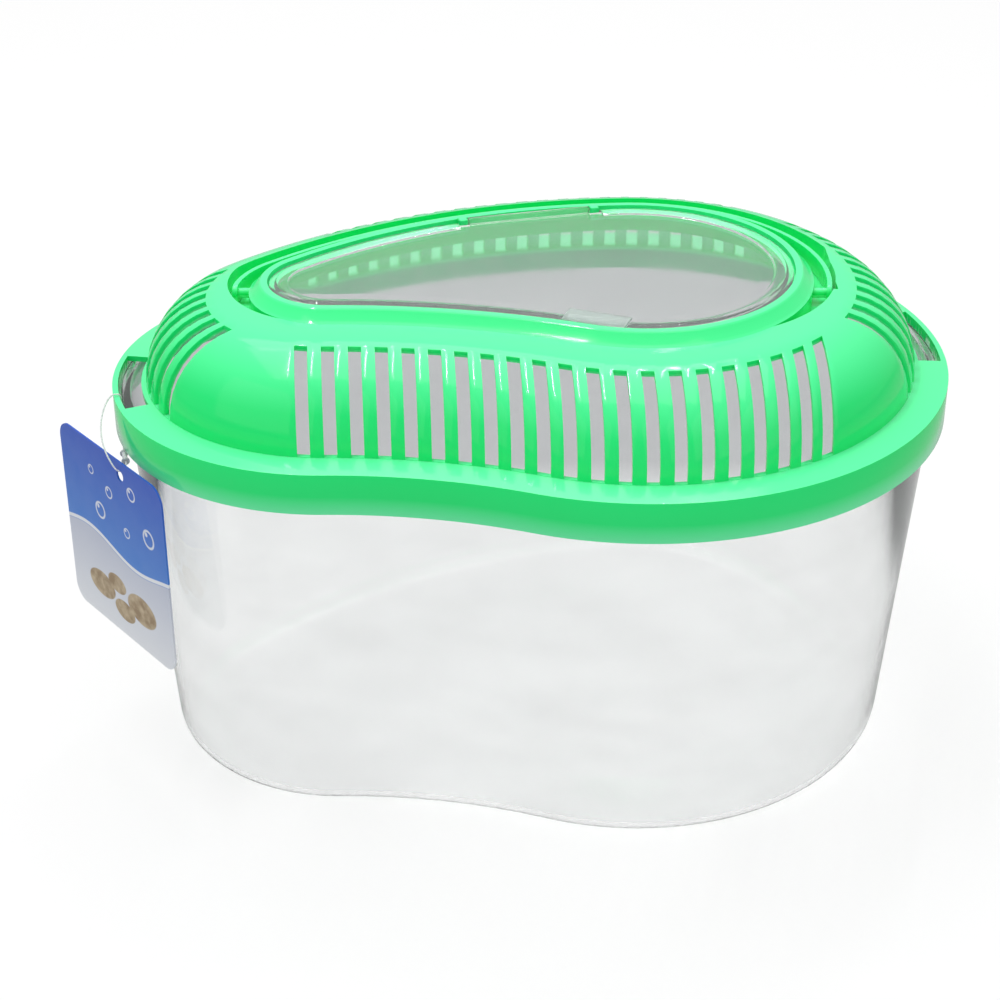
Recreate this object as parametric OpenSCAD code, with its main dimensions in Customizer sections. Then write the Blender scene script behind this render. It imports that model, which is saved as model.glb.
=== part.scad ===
// Small-animal keeper: a clear kidney-shaped tank under a green vented lid,
// with a clear hinged hatch, a folding bail handle and a card tag on a loop.
// The origin is on the table, under the middle of the lid's rim.

/* [Kidney outline] */
// Radius of the right-hand end of the lid rim
right_r = 101; // [98:1:104]
// Radius of the left-hand end of the lid rim
left_r = 71; // [69:1:74]
// Radius of the long back curve
back_r = 215; // [205:1:230]
// Radius of the hollow front curve
front_r = 170; // [150:1:200]
// Left-to-right distance between the two end centres
lobe_dx = 98; // [95:1:102]
// Front-to-back distance between the two end centres
lobe_dy = 13; // [10:1:16]
// X of the right-hand end centre
right_x = 34; // [30:1:38]

/* [Tank] */
// Height of the tank's rim above the table
tank_h = 129.5; // [120:0.5:140]
// Thickness of the clear wall and floor
tank_wall = 1.8; // [1.4:0.1:2.4]
// How far the wall's top lies inside the lid rim
tank_top_in = 3.7; // [3.5:0.1:4.5]
// How much further in the wall stands at the floor
tank_taper = 9.5; // [6:0.5:12]
// Radius of the rounded bottom edge
tank_edge_r = 9; // [6:0.5:12]
// Height of the rolled lip round the rim
lip_h = 2.6; // [2:0.1:4]
// How far the lip stands out of the wall
lip_out = 1.1; // [0.8:0.1:1.4]

/* [Lid] */
// Thickness of the lid's green shell
lid_wall = 1.8; // [1.5:0.1:2.2]
// Height of the upright band round the lid
band_h = 13.4; // [11:0.1:16]
// Gap between the tank's rim and the lid
rim_gap = 0.3; // [0.2:0.05:0.5]
// Width of the flat ledge round the dome
ledge_w = 10.8; // [9.5:0.1:12]
// Radius of the dome's quarter-round flank
dome_r = 28; // [26:0.5:29]
// Width of the flat crown between the dome and the collar
crown_w = 6.2; // [5:0.1:7]
// Height of the collar round the hatch
collar_h = 3.8; // [3.2:0.1:4.6]
// Width of the collar's sloping outer side
collar_slope_w = 3.5; // [2.5:0.1:4]
// Width of the collar's flat top
collar_top_w = 2.5; // [2:0.1:3]

/* [Vents] */
// Number of slots in the front row
front_slots = 21; // [15:1:21]
// Number of slots in the back row
back_slots = 21; // [15:1:21]
// Number of slots round the left-hand end
left_slots = 8; // [4:1:8]
// Number of slots round the right-hand end
right_slots = 12; // [6:1:12]
// Distance between slots along the foot of the dome
slot_pitch = 8.1; // [7.6:0.1:8.4]
// Width of a slot
slot_w = 3.9; // [3:0.1:4.4]
// How far a slot reaches up the dome, measured inwards
slot_reach = 20.6; // [14:0.2:21]
// How far the front slots turn from straight ahead, towards the right
front_lean = 4; // [0:0.5:8]
// How far behind the left-hand end's centre its slots point to
left_fan = 48; // [20:1:80]
// How far behind the right-hand end's centre its slots point to
right_fan = 105; // [40:1:140]
// Distance of the front row's middle from the hollow's left end
front_row_mid = 75; // [70:1:80]
// Distance of the back row's middle from the back curve's right end
back_row_mid = 33.4; // [30:0.2:37]

/* [Rim latches] */
// Length of the gap in the ledge that frees the band at each end
latch_w = 40; // [30:1:46]
// Width of that gap
latch_slit = 7.4; // [5:0.2:8]

/* [Handle] */
// Height of the flat strap
strap_h = 6; // [5.4:0.1:7]
// Thickness of the strap
strap_t = 1.5; // [1.3:0.1:1.8]
// How far the strap's middle lies inside the lid rim
strap_in = 40; // [39.6:0.1:40.4]
// Width of the well that the strap folds into
well_w = 11; // [10:0.1:11.4]
// Y of the handle's pivot line
pivot_y = -8.4; // [-10:0.2:-6]
// Diameter of the pivot pegs
peg_d = 3.2; // [2.8:0.1:3.6]
// Gap all round a peg in its hole
peg_gap = 0.08; // [0.05:0.01:0.1]
// Gap under the folded strap
strap_gap = 0.3; // [0.2:0.05:0.5]
// Room in the well round each end of the strap
ear_room = 0.7; // [0.5:0.1:1]

/* [Hatch] */
// Thickness of the clear hatch
hatch_t = 1.6; // [1.4:0.1:2]
// Gap between the hatch and the collar, all round
hatch_gap = 0.4; // [0.3:0.05:0.6]
// Gap between the hatch and the seat below it
seat_gap = 0.3; // [0.2:0.05:0.5]
// Width of the seat that carries the hatch
seat_w = 3.5; // [3:0.1:4.5]
// Thickness of the seat
seat_t = 1.8; // [1.5:0.1:2.4]
// How deep the seat lies below the collar's top
seat_depth = 2.9; // [2.7:0.1:3.1]
// How far the raised bead lies inside the hatch's edge
bead_in = 1.8; // [1.4:0.1:2.4]
// Width of the bead
bead_w = 4.6; // [4:0.1:5.4]
// Height of the bead
bead_h = 0.6; // [0.4:0.1:0.9]
// Diameter of the hinge barrel
barrel_d = 2.6; // [2.4:0.1:2.8]
// Length of the hinge barrel
barrel_l = 42; // [34:1:44]
// Diameter of the hinge pegs
hinge_peg_d = 1.6; // [1.4:0.1:1.8]
// Gap all round a hinge peg in its hole
hinge_peg_gap = 0.06; // [0.04:0.01:0.1]
// Width of the lug that holds a hinge peg
lug_w = 3; // [2.4:0.1:4]
// Side gap between the barrel and a lug
lug_gap = 0.4; // [0.3:0.05:0.6]
// Bearing of the hinge's middle on the back curve
hinge_bearing = 104.3; // [102:0.1:108]
// Width of the finger grip
grip_w = 20; // [16:0.5:24]
// Depth of the finger grip
grip_d = 9; // [7:0.5:11]
// Bearing of the finger grip on the hollow front curve
grip_bearing = 69.5; // [69:0.1:74]

/* [Tag] */
// Width of the card
tag_w = 63; // [55:1:68]
// Height of the card
tag_h = 67; // [60:1:72]
// Thickness of the card
tag_t = 0.6; // [0.5:0.1:0.8]
// Corner radius of the card
tag_r = 6; // [4:0.5:8]
// Height of the card's top edge above the table
tag_top = 118; // [116:0.5:120]
// Bearing of the card as it lies against the left end
tag_bearing = 219; // [216:0.5:222]
// Gap between the card and the band
tag_off = 2.6; // [2.2:0.1:3.4]
// Where the card's middle lies along the rim
tag_shift = -18.7; // [-20:0.1:-17]
// Diameter of the hole in the card
hole_d = 4; // [3:0.5:5]
// How far the hole lies from the card's middle, towards the front corner
hole_side = 6.7; // [5:0.1:8]
// How far the hole lies below the card's top edge
hole_drop = 5; // [4:0.5:7]
// Diameter of the nylon loop
loop_d = 0.5; // [0.4:0.05:0.6]

/* [Hidden] */
$fn = 96;
arc_steps = 6;
floor_core_in = 42;
// How far a cutter reaches past the solid it cuts
over = 1;
// How far a raised piece sinks into the solid that carries it
weld = 0.2;

// Centres of the four arcs, from their radii
right_c = [right_x, 0];
left_c = [right_x - lobe_dx, -lobe_dy];
lobe_span = norm(right_c - left_c);
lobe_turn = atan2(lobe_dy, lobe_dx);
function side_angle(opposite, a, b) = acos((a * a + b * b - opposite * opposite) / (2 * a * b));
back_turn = lobe_turn - 180 + side_angle(back_r - right_r, back_r - left_r, lobe_span);
back_turn_left = lobe_turn - side_angle(back_r - right_r, back_r - left_r, lobe_span);
back_c = left_c + (back_r - left_r) * [cos(back_turn_left), sin(back_turn_left)];
front_turn_left = lobe_turn - side_angle(front_r + right_r, front_r + left_r, lobe_span);
front_c = left_c + (front_r + left_r) * [cos(front_turn_left), sin(front_turn_left)];
function bearing(from, to) = atan2(to[1] - from[1], to[0] - from[0]);
back_a0 = bearing(back_c, right_c);
back_a1 = bearing(back_c, left_c);
front_a0 = bearing(front_c, right_c);
front_a1 = bearing(front_c, left_c);

// Heights that follow from the sizes above
ledge_z = tank_h + rim_gap + lid_wall;
band_z = ledge_z - band_h;
crown_z = ledge_z + dome_r;
crown_in = ledge_w + dome_r + crown_w;
collar_top_in = crown_in + collar_slope_w;
collar_in = collar_top_in + collar_top_w;
collar_z = crown_z + collar_h;
seat_z = collar_z - seat_depth;
opening_in = collar_in + seat_w;
hatch_in = collar_in + hatch_gap;
hatch_z = seat_z + seat_gap;
hatch_top_z = hatch_z + hatch_t;

// Soft corners of the collar's sloping side, as [inwards, up]
collar_toe = [1.1, 0.7];
collar_brow = [0.4, 0.6];
collar_round = 0.3;

// Where a slot's cutter starts, in front of the dome's foot and above the ledge
slot_lead = 3;
slot_rise = slot_w / 20;

// How far the well's straight sides and round ends lie inside the rim's two ends
well_left_in = 39.7;
well_right_in = 38;
well_left_round_in = 38.2;
well_right_round_in = 50.2;
well_left_shift = [-0.8, 8.2];
well_right_shift = [12.6, 3.1];

// The handle's well and pivots
well_out_in = crown_in - well_w;
well_z = crown_z - strap_h - strap_gap;
pivot_z = crown_z - strap_h / 2;
well_left_x = left_c[0] - left_r + well_left_in;
well_right_x = right_c[0] + right_r - well_right_in;
well_left_end = left_c + well_left_shift;
well_left_end_r = left_r - well_left_round_in;
well_right_end = right_c + well_right_shift;
well_right_end_r = right_r - well_right_round_in;
well_join_y = 2;
peg_over = 0.3;
hole_over = 3;
function lobe_x(c, r, y, side) = c[0] + side * sqrt(r * r - (y - c[1]) * (y - c[1]));
left_strap_x = lobe_x(left_c, left_r - strap_in, pivot_y, -1);
right_strap_x = lobe_x(right_c, right_r - strap_in, pivot_y, 1);
left_ring_x = lobe_x(left_c, left_r - crown_in - lid_wall, pivot_y, -1);
right_ring_x = lobe_x(right_c, right_r - crown_in - lid_wall, pivot_y, 1);

// Route of the tag loop: [bearing about the left end's centre, distance from it, height]
loop_route = [
    [207.6, 71.9, 115.9], [208.8, 72.5, 115.5], [209.5, 73.3, 114.9], [209.8, 74.2, 114.5],
    [209.9, 75.2, 114.7], [209.6, 76.2, 115.6], [208.6, 77.0, 117.4], [206.5, 77.6, 120.0],
    [203.6, 77.5, 123.2], [200.6, 76.4, 126.6], [198.2, 74.6, 129.6], [196.8, 72.8, 131.6],
    [196.2, 71.3, 132.4], [196.0, 70.1, 132.4], [196.0, 69.1, 132.0], [196.0, 68.8, 130.8],
    [196.0, 68.8, 127.0], [196.2, 68.8, 122.0], [196.6, 68.8, 119.2], [197.6, 69.2, 117.3],
    [199.4, 69.9, 116.4], [203.2, 70.8, 116.1]];
loop_sides = 8;
loop_points = [for (p = loop_route) [left_c[0] + p[1] * cos(p[0]), left_c[1] + p[1] * sin(p[0]), p[2]]];
lock_d = 1.6;
lock_flange = 0.5;

// The hatch's hinge line
barrel_rise = 2;
hinge_step = 3.4;
hinge_trim = 0.2;
grip_h = bead_h + 0.2;
barrel_z = hatch_z + barrel_rise;
hinge_in = collar_in + hinge_step;
lug_y = barrel_l / 2 + lug_gap + lug_w / 2;
lug_deep = barrel_d / 2 + lug_gap;
hinge_room = lug_y + lug_w / 2 + lug_gap;

module at_hinge() {
    translate([back_c[0], back_c[1], 0])
    rotate([0, 0, hinge_bearing])
    translate([back_r - hinge_in, 0, 0])
    children();
}

// A quarter-round as points, from angle a0 to a1
function arc(cx, cz, r, a0, a1) =
    [for (i = [0:arc_steps]) let (a = a0 + (a1 - a0) * i / arc_steps) [cx + r * cos(a), cz + r * sin(a)]];

// The four regions of the plan, one for each arc, meeting on shared lines
far = 3 * back_r;
back_reach_right = right_c + far * [cos(back_a0), sin(back_a0)];
back_reach_left = left_c + far * [cos(back_a1), sin(back_a1)];
right_region = [right_c, front_c, [far, -far], [far, far], back_reach_right];
left_region = [left_c, back_reach_left, [-far, far], [-far, -far], front_c];
back_region = [right_c, back_reach_right, back_reach_left, left_c];
front_region = [right_c, left_c, front_c];

function fine(x) = round(x * 1000) / 1000;

// Moves to a centre in coarse, fine and finest steps, so that no digit is lost
module place(c) {
    coarse = [round(c[0]), round(c[1]), 0];
    middle = [fine(c[0]), fine(c[1]), 0] - coarse;
    translate(coarse)
    translate(middle)
    translate([c[0] - fine(c[0]), c[1] - fine(c[1]), 0])
    children();
}

module region(corners, z0, z1) {
    translate([0, 0, z0])
    linear_extrude(z1 - z0)
    polygon(corners);
}

// Sweeps a section, drawn as [distance inside the rim, height], round the outline
module sweep(section) {
    sector(right_c, right_region, right_r, section);
    sector(back_c, back_region, back_r, section);
    sector(left_c, left_region, left_r, section);
    sector(front_c, front_region, -front_r, section);
}

// One arc of the sweep; a negative radius is the hollow arc
module sector(c, corners, r, section) {
    intersection() {
        place(c)
        rotate_extrude()
        polygon([for (p = section) [abs(r - fine(p[0])), fine(p[1])]]);
        region(corners, -over, 2 * collar_z);
    }
}

// The solid outline at a distance inside the rim, from z0 to z1
module slab(inside, z0, z1) {
    pie(right_c, right_region, right_r - inside, z0, z1);
    pie(left_c, left_region, left_r - inside, z0, z1);
    pie(back_c, back_region, back_r - inside, z0, z1);
    difference() {
        region(front_region, z0, z1);
        place(front_c)
        translate([0, 0, z0 - over])
        cylinder(h = z1 - z0 + 2 * over, r = front_r + inside);
    }
}

module pie(c, corners, r, z0, z1) {
    intersection() {
        place(c)
        translate([0, 0, z0])
        cylinder(h = z1 - z0, r = r);
        region(corners, z0 - over, z1 + over);
    }
}

module tank() {
    taper = atan2(tank_taper, tank_h);
    foot_in = tank_top_in + tank_taper;
    edge_in = foot_in + tank_edge_r * (1 - sin(taper)) / cos(taper);
    inner_r = tank_edge_r - tank_wall;
    lip_in = tank_top_in - lip_out;
    color([0.93, 0.95, 0.96, 0.35]) {
        sweep(concat(
            [[floor_core_in, 0]],
            arc(edge_in, tank_edge_r, tank_edge_r, 270, 180 + taper),
            [[tank_top_in + tank_taper * lip_h / tank_h, tank_h - lip_h - lip_out]],
            [[lip_in, tank_h - lip_h], [lip_in, tank_h], [tank_top_in + tank_wall, tank_h]],
            arc(edge_in, tank_edge_r, inner_r, 180 + taper, 270),
            [[floor_core_in, tank_wall]]));
        slab(floor_core_in, 0, tank_wall);
        hub(left_c, left_r);
        hub(right_c, right_r);
    }
}

// Joins the parts of the floor where they meet at an end's centre
module hub(c, r) {
    place(c)
    cylinder(h = tank_wall, r = (r - floor_core_in) / 2);
}

module lid_shell() {
    dome_in = ledge_w + dome_r;
    sweep(concat(
        [[0, band_z], [0, ledge_z]],
        arc(dome_in, ledge_z, dome_r, 180, 90),
        [[crown_in, crown_z], [crown_in, crown_z] + collar_toe, [collar_top_in, collar_z] - collar_brow],
        [[collar_top_in + collar_round, collar_z], [collar_in, collar_z], [collar_in, seat_z]],
        [[opening_in, seat_z], [opening_in, seat_z - seat_t]],
        [[collar_in, crown_z - lid_wall]],
        arc(dome_in, ledge_z, dome_r - lid_wall, 90, 180),
        [[ledge_w + lid_wall, ledge_z - lid_wall], [lid_wall, ledge_z - lid_wall], [lid_wall, band_z]]));
}

// The well's outline, grown outwards by a distance
module well(grow, z0, z1) {
    difference() {
        intersection() {
            slab(well_out_in - grow, z0, z1);
            union() {
                translate([well_left_x - grow, well_join_y - grow, z0])
                cube([well_right_x - well_left_x + 2 * grow, 2 * back_r, z1 - z0]);
                well_end(well_left_end, well_left_end_r + grow, z0, z1);
                well_end(well_right_end, well_right_end_r + grow, z0, z1);
                ear(left_strap_x - strap_t - ear_room - grow, left_c[0], grow, z0, z1);
                ear(right_c[0], right_strap_x + strap_t + ear_room + grow, grow, z0, z1);
            }
        }
        slab(crown_in + grow, z0 - over, z1 + over);
    }
}

module well_end(c, r, z0, z1) {
    translate([c[0], c[1], z0])
    cylinder(h = z1 - z0, r = r);
}

// Room for a strap end to turn about its peg
module ear(x0, x1, grow, z0, z1) {
    reach = strap_h / 2 + ear_room + grow;
    translate([x0, pivot_y - reach, z0])
    cube([x1 - x0, 2 * reach, z1 - z0]);
}

// A slot cut through the dome, inwards from its foot on a circle of radius r about c.
// It starts at bearing a, points outwards along bearing to, and ends at radius r_end.
module slot(c, a, r, to, r_end) {
    along = r * cos(a - to);
    root = sqrt(along * along - r * r + r_end * r_end);
    reach = along > 0 ? along - root : along + root;
    translate([c[0], c[1], 0])
    rotate([0, 0, a])
    translate([r, 0, ledge_z + slot_rise])
    rotate([0, 0, to - a])
    translate([-reach, -slot_w / 2, 0])
    cube([reach + slot_lead, slot_w, dome_r + over]);
}

function turn_of(length, r) = length / r * 180 / PI;

module lobe_slot(c, a, r, to) {
    slot(c, a, r - ledge_w, to, r - ledge_w - slot_reach);
}

module front_row() {
    foot_r = front_r + ledge_w;
    hollow_l = (front_a1 - front_a0) * PI / 180 * foot_r;
    to = front_lean - 90;
    for (i = [0:front_slots - 1]) {
        s = front_row_mid + (i - (front_slots - 1) / 2) * slot_pitch;
        if (s < 0)
            lobe_slot(left_c, front_a1 + 180 + turn_of(s, left_r - ledge_w), left_r, to);
        else if (s > hollow_l)
            lobe_slot(right_c, front_a0 - 180 + turn_of(s - hollow_l, right_r - ledge_w), right_r, to);
        else
            slot(front_c, front_a1 - turn_of(s, foot_r), foot_r, to, foot_r + slot_reach);
    }
}

module back_row() {
    foot_r = back_r - ledge_w;
    back_l = (back_a1 - back_a0) * PI / 180 * foot_r;
    for (i = [0:back_slots - 1]) {
        s = back_row_mid + (i - (back_slots - 1) / 2) * slot_pitch;
        if (s < 0)
            radial_slot(right_c, back_a0 + turn_of(s, right_r - ledge_w), right_r);
        else if (s > back_l)
            radial_slot(left_c, back_a1 + turn_of(s - back_l, left_r - ledge_w), left_r);
        else
            radial_slot(back_c, back_a0 + turn_of(s, foot_r), back_r);
    }
}

module radial_slot(c, a, r) {
    lobe_slot(c, a, r, a);
}

// Slots round one end, which all point to one place behind the end's centre
module end_row(c, r, middle, count, fan) {
    foot_r = r - ledge_w;
    for (i = [0:count - 1]) {
        off = turn_of((i - (count - 1) / 2) * slot_pitch, foot_r);
        lobe_slot(c, middle + off, r, middle + atan2(foot_r * sin(off), fan + foot_r * cos(off)));
    }
}

// The gap in the ledge that lets the band flex at one end
module latch_gap(c, r, middle) {
    turn = turn_of(latch_w, r);
    translate([c[0], c[1], 0])
    rotate([0, 0, middle - turn / 2])
    rotate_extrude(angle = turn)
    translate([r - lid_wall - latch_slit, ledge_z - lid_wall - over])
    square([latch_slit, lid_wall + 2 * over]);
}

module peg_hole(x0, x1) {
    translate([x0, pivot_y, pivot_z])
    rotate([0, 90, 0])
    cylinder(h = x1 - x0, d = peg_d + 2 * peg_gap);
}

module hinge_cut() {
    half = barrel_l / 2 + lug_gap;
    intersection() {
        at_hinge()
        translate([-barrel_d / 2 - lug_gap, -half, 0])
        cube([2 * barrel_d + lug_w, 2 * half, collar_z + over]);
        slab(collar_in, crown_z - lid_wall - over, collar_z);
    }
}

module lug(side) {
    lug_foot = seat_z - seat_t / 2;
    at_hinge()
    translate([0, side * lug_y, 0])
    difference() {
        translate([-lug_deep, -lug_w / 2, lug_foot])
        cube([2 * lug_deep, lug_w, barrel_z + barrel_d / 2 - lug_foot]);
        translate([0, -lug_w, barrel_z])
        rotate([-90, 0, 0])
        cylinder(h = 2 * lug_w, d = hinge_peg_d + 2 * hinge_peg_gap);
    }
}

module vented_lid() {
    color([0.1, 0.85, 0.4])
    difference() {
        union() {
            lid_shell();
            well(lid_wall, well_z - lid_wall, crown_z - lid_wall + weld);
            lug(-1);
            lug(1);
        }
        well(0, well_z, collar_z + over);
        front_row();
        back_row();
        end_row(left_c, left_r, lobe_turn + 180, left_slots, left_fan);
        end_row(right_c, right_r, lobe_turn, right_slots, right_fan);
        latch_gap(left_c, left_r, lobe_turn + 180);
        latch_gap(right_c, right_r, lobe_turn);
        peg_hole(left_strap_x, left_ring_x + hole_over);
        peg_hole(right_ring_x - hole_over, right_strap_x);
        hinge_cut();
    }
}

module hatch() {
    color([0.93, 0.95, 0.96, 0.35]) {
        difference() {
            union() {
                slab(hatch_in, hatch_z, hatch_top_z);
                bead();
                grip();
            }
            at_hinge()
            translate([-hinge_trim, -back_r / 2, hatch_z - over])
            cube([back_r, back_r, collar_h + hatch_t + over]);
            lug_room(-1);
            lug_room(1);
        }
        at_hinge() {
            translate([0, -barrel_l / 2, barrel_z])
            rotate([-90, 0, 0])
            cylinder(h = barrel_l, d = barrel_d);
            translate([0, -barrel_l / 2 - lug_w, barrel_z])
            rotate([-90, 0, 0])
            cylinder(h = barrel_l + 2 * lug_w, d = hinge_peg_d);
        }
    }
}

module bead() {
    slope = bead_h;
    outer = hatch_in + bead_in;
    inner = outer + bead_w;
    difference() {
        sweep([
            [outer, hatch_top_z - weld], [outer, hatch_top_z],
            [outer + slope, hatch_top_z + bead_h], [inner - slope, hatch_top_z + bead_h],
            [inner, hatch_top_z], [inner, hatch_top_z - weld]]);
        at_hinge()
        translate([-bead_w - barrel_d, -hinge_room, hatch_top_z])
        cube([back_r, 2 * hinge_room, bead_h + over]);
    }
}

module grip() {
    intersection() {
        translate([front_c[0], front_c[1], 0])
        rotate([0, 0, grip_bearing])
        translate([front_r + hatch_in, -grip_w / 2, hatch_top_z - weld])
        cube([grip_d, grip_w, weld + grip_h]);
        slab(hatch_in, hatch_z, collar_z);
    }
}

// Clears the hatch round a hinge lug
module lug_room(side) {
    at_hinge()
    translate([-lug_deep - lug_gap, side * lug_y - lug_w / 2 - lug_gap, hatch_z - over])
    cube([2 * barrel_d, lug_w + 2 * lug_gap, hatch_t + collar_h]);
}

module handle() {
    z0 = crown_z - strap_h;
    out = strap_in - strap_t / 2;
    inner = strap_in + strap_t / 2;
    color([0.1, 0.85, 0.4]) {
        intersection() {
            sweep([[out, z0], [out, crown_z], [inner, crown_z], [inner, z0]]);
            union() {
                translate([-2 * back_r, pivot_y, z0 - over])
                cube([4 * back_r, 2 * back_r, strap_h + 2 * over]);
                translate([-2 * back_r, pivot_y, pivot_z])
                rotate([0, 90, 0])
                cylinder(h = 4 * back_r, d = strap_h);
            }
        }
        peg(left_strap_x, left_ring_x + peg_over);
        peg(right_ring_x - peg_over, right_strap_x);
    }
}

module peg(x0, x1) {
    translate([x0, pivot_y, pivot_z])
    rotate([0, 90, 0])
    cylinder(h = x1 - x0, d = peg_d);
}

// The card's own frame: X along the rim, Y out from it, Z up, at the card's top middle
module at_card() {
    translate([left_c[0], left_c[1], tag_top])
    rotate([0, 0, tag_bearing - 90])
    translate([-tag_shift, left_r + tag_off, 0])
    children();
}

module hang_tag() {
    color([0.25, 0.45, 0.8])
    at_card()
    difference() {
        union() {
            card_part(tag_w - 2 * tag_r, 0, tag_h);
            card_part(tag_w, tag_r, tag_h - tag_r);
            for (side = [-1, 1])
                for (drop = [tag_r, tag_h - tag_r])
                    translate([side * (tag_w / 2 - tag_r), 0, -drop])
                    rotate([-90, 0, 0])
                    cylinder(h = tag_t, r = tag_r);
        }
        translate([-hole_side, -over, -hole_drop])
        rotate([-90, 0, 0])
        cylinder(h = tag_t + 2 * over, d = hole_d);
    }
}

module card_part(w, drop0, drop1) {
    translate([-w / 2, 0, -drop1])
    cube([w, tag_t, drop1 - drop0]);
}

// Unit vector along a list of points at point i
function unit(v) = v / norm(v);
function heading(points, i) =
    unit(points[min(i + 1, len(points) - 1)] - points[max(i - 1, 0)]);

// A side direction at each point, carried along without twisting
function sides_along(points) =
    [for (i = 0, u = unit(cross(heading(points, 0), [0, 0, 1])); i < len(points);
        i = i + 1,
        t = heading(points, min(i, len(points) - 1)),
        u = unit(u - (u * t) * t)) u];

// A round tube along points, as one closed shape
module tube(points, d, sides) {
    us = sides_along(points);
    rings = [for (i = [0:len(points) - 1])
        let (u = us[i], v = cross(heading(points, i), u))
        for (k = [0:sides - 1])
            points[i] + d / 2 * (cos(360 * k / sides) * u + sin(360 * k / sides) * v)];
    last = (len(points) - 1) * sides;
    walls = [for (i = [0:len(points) - 2]) for (k = [0:sides - 1])
        let (a = i * sides + k, b = i * sides + (k + 1) % sides)
        each [[a, b, b + sides], [a, b + sides, a + sides]]];
    caps = [for (k = [1:sides - 2]) each [[0, k + 1, k], [last, last + k, last + k + 1]]];
    polyhedron(rings, [for (face = concat(walls, caps)) [face[0], face[2], face[1]]]);
}

module tag_loop() {
    color([0.95, 0.95, 0.95])
    tube(loop_points, loop_d, loop_sides);
}

// The small barrel that the loop's two ends snap into
module loop_lock() {
    from = loop_points[len(loop_points) - 1];
    run = loop_points[0] - from;
    length = norm(run);
    color([0.95, 0.95, 0.95])
    translate(from)
    rotate([0, acos(run[2] / length), atan2(run[1], run[0])]) {
        cylinder(h = length, d = lock_d);
        for (h = [0, length - lock_flange])
            translate([0, 0, h])
            cylinder(h = lock_flange, d = lock_d + 2 * lock_flange);
    }
}

tank();
vented_lid();
hatch();
handle();
hang_tag();
tag_loop();
loop_lock();
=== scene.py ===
"""Builds the looks of a small-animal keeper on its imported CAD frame.

A clear kidney-shaped tank stands under a green vented lid. The lid carries a
clear hinged hatch, a folding bail handle and a card tag on a nylon loop. All
sizes are in millimetres, in the CAD frame, and become metres in the meshes.
"""

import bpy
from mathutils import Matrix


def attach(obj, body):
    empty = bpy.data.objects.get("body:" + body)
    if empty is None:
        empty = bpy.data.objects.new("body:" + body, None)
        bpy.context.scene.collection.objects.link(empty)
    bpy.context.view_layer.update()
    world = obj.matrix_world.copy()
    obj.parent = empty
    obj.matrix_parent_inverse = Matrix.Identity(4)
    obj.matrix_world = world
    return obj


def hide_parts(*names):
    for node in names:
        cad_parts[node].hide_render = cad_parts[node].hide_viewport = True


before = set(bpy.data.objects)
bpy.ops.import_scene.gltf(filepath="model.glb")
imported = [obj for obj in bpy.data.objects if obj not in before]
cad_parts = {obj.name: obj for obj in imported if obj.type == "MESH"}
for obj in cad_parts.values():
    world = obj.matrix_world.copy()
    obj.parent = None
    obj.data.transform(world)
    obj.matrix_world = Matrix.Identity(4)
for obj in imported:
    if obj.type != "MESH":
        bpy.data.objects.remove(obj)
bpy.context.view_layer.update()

import logging
import math
from dataclasses import dataclass, field
from enum import Enum

import bmesh
import bpy
import numpy as np
from mathutils import Vector

MM = 0.001
TURN = math.pi / 180
TOUCH = 1e-4  # degrees by which a bearing may miss the end of an arc
DOUBLE = 2e-6  # metres between vertices that count as one
PAST = 1.0  # millimetres by which a cutter runs past what it cuts
FAR = 200.0  # millimetres, past every side of the keeper
CEILING_Z = 150.0  # below the hatch and its hinge
ROOF_Z = 170.0  # above the hatch and its hinge

logging.basicConfig(level=logging.INFO, format="%(name)s: %(message)s")
log = logging.getLogger("keeper")

Point = tuple[float, float]
Section = list[Point]
Colour = tuple[float, float, float]
Piece = bpy.types.Object
Socket = bpy.types.NodeSocket
Finish = bpy.types.Material


class Boolean(Enum):
    """The ways in which one solid works on another."""

    CUT = "DIFFERENCE"
    JOIN = "UNION"
    KEEP = "INTERSECT"


class Body(Enum):
    """The moving bodies of the frame."""

    TANK = "tank"
    LID = "lid"
    HATCH = "hatch"
    HANDLE = "handle"
    TAG = "tag"


@dataclass(frozen=True)
class Arc:
    """One arc of the kidney outline.

    Attributes:
        centre: The arc's centre in plan.
        radius: Its radius at the rim.
        start: Bearing at which the arc starts, in degrees.
        end: Bearing at which it ends; a smaller one turns clockwise.
        hollow: Whether the arc bends inwards, towards the keeper.
    """

    centre: Point
    radius: float
    start: float
    end: float
    hollow: bool = False

    def distance(self, inside: float) -> float:
        """Returns the radius of the line that lies inside the rim."""
        return self.radius + inside if self.hollow else self.radius - inside

    def point(self, bearing: float, inside: float) -> Point:
        """Finds the plan point at a bearing and a distance inside the rim.

        Args:
            bearing: Bearing about the arc's centre, in degrees.
            inside: Distance inside the rim.

        Returns:
            The point in plan.
        """
        r = self.distance(inside)
        return (
            self.centre[0] + r * math.cos(bearing * TURN),
            self.centre[1] + r * math.sin(bearing * TURN),
        )

    def sign(self) -> int:
        """Returns 1 where the arc turns anticlockwise, or -1."""
        return 1 if self.end > self.start else -1

    def unwind(self, turn: float) -> float:
        """Returns a bearing with whole turns added, from the arc's lower end on."""
        return turn + 360 * math.ceil((min(self.start, self.end) - turn - TOUCH) / 360)

    def spans(self, turn: float) -> bool:
        """Tells whether an unwound bearing lies on the arc."""
        return turn <= max(self.start, self.end) + TOUCH


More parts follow.
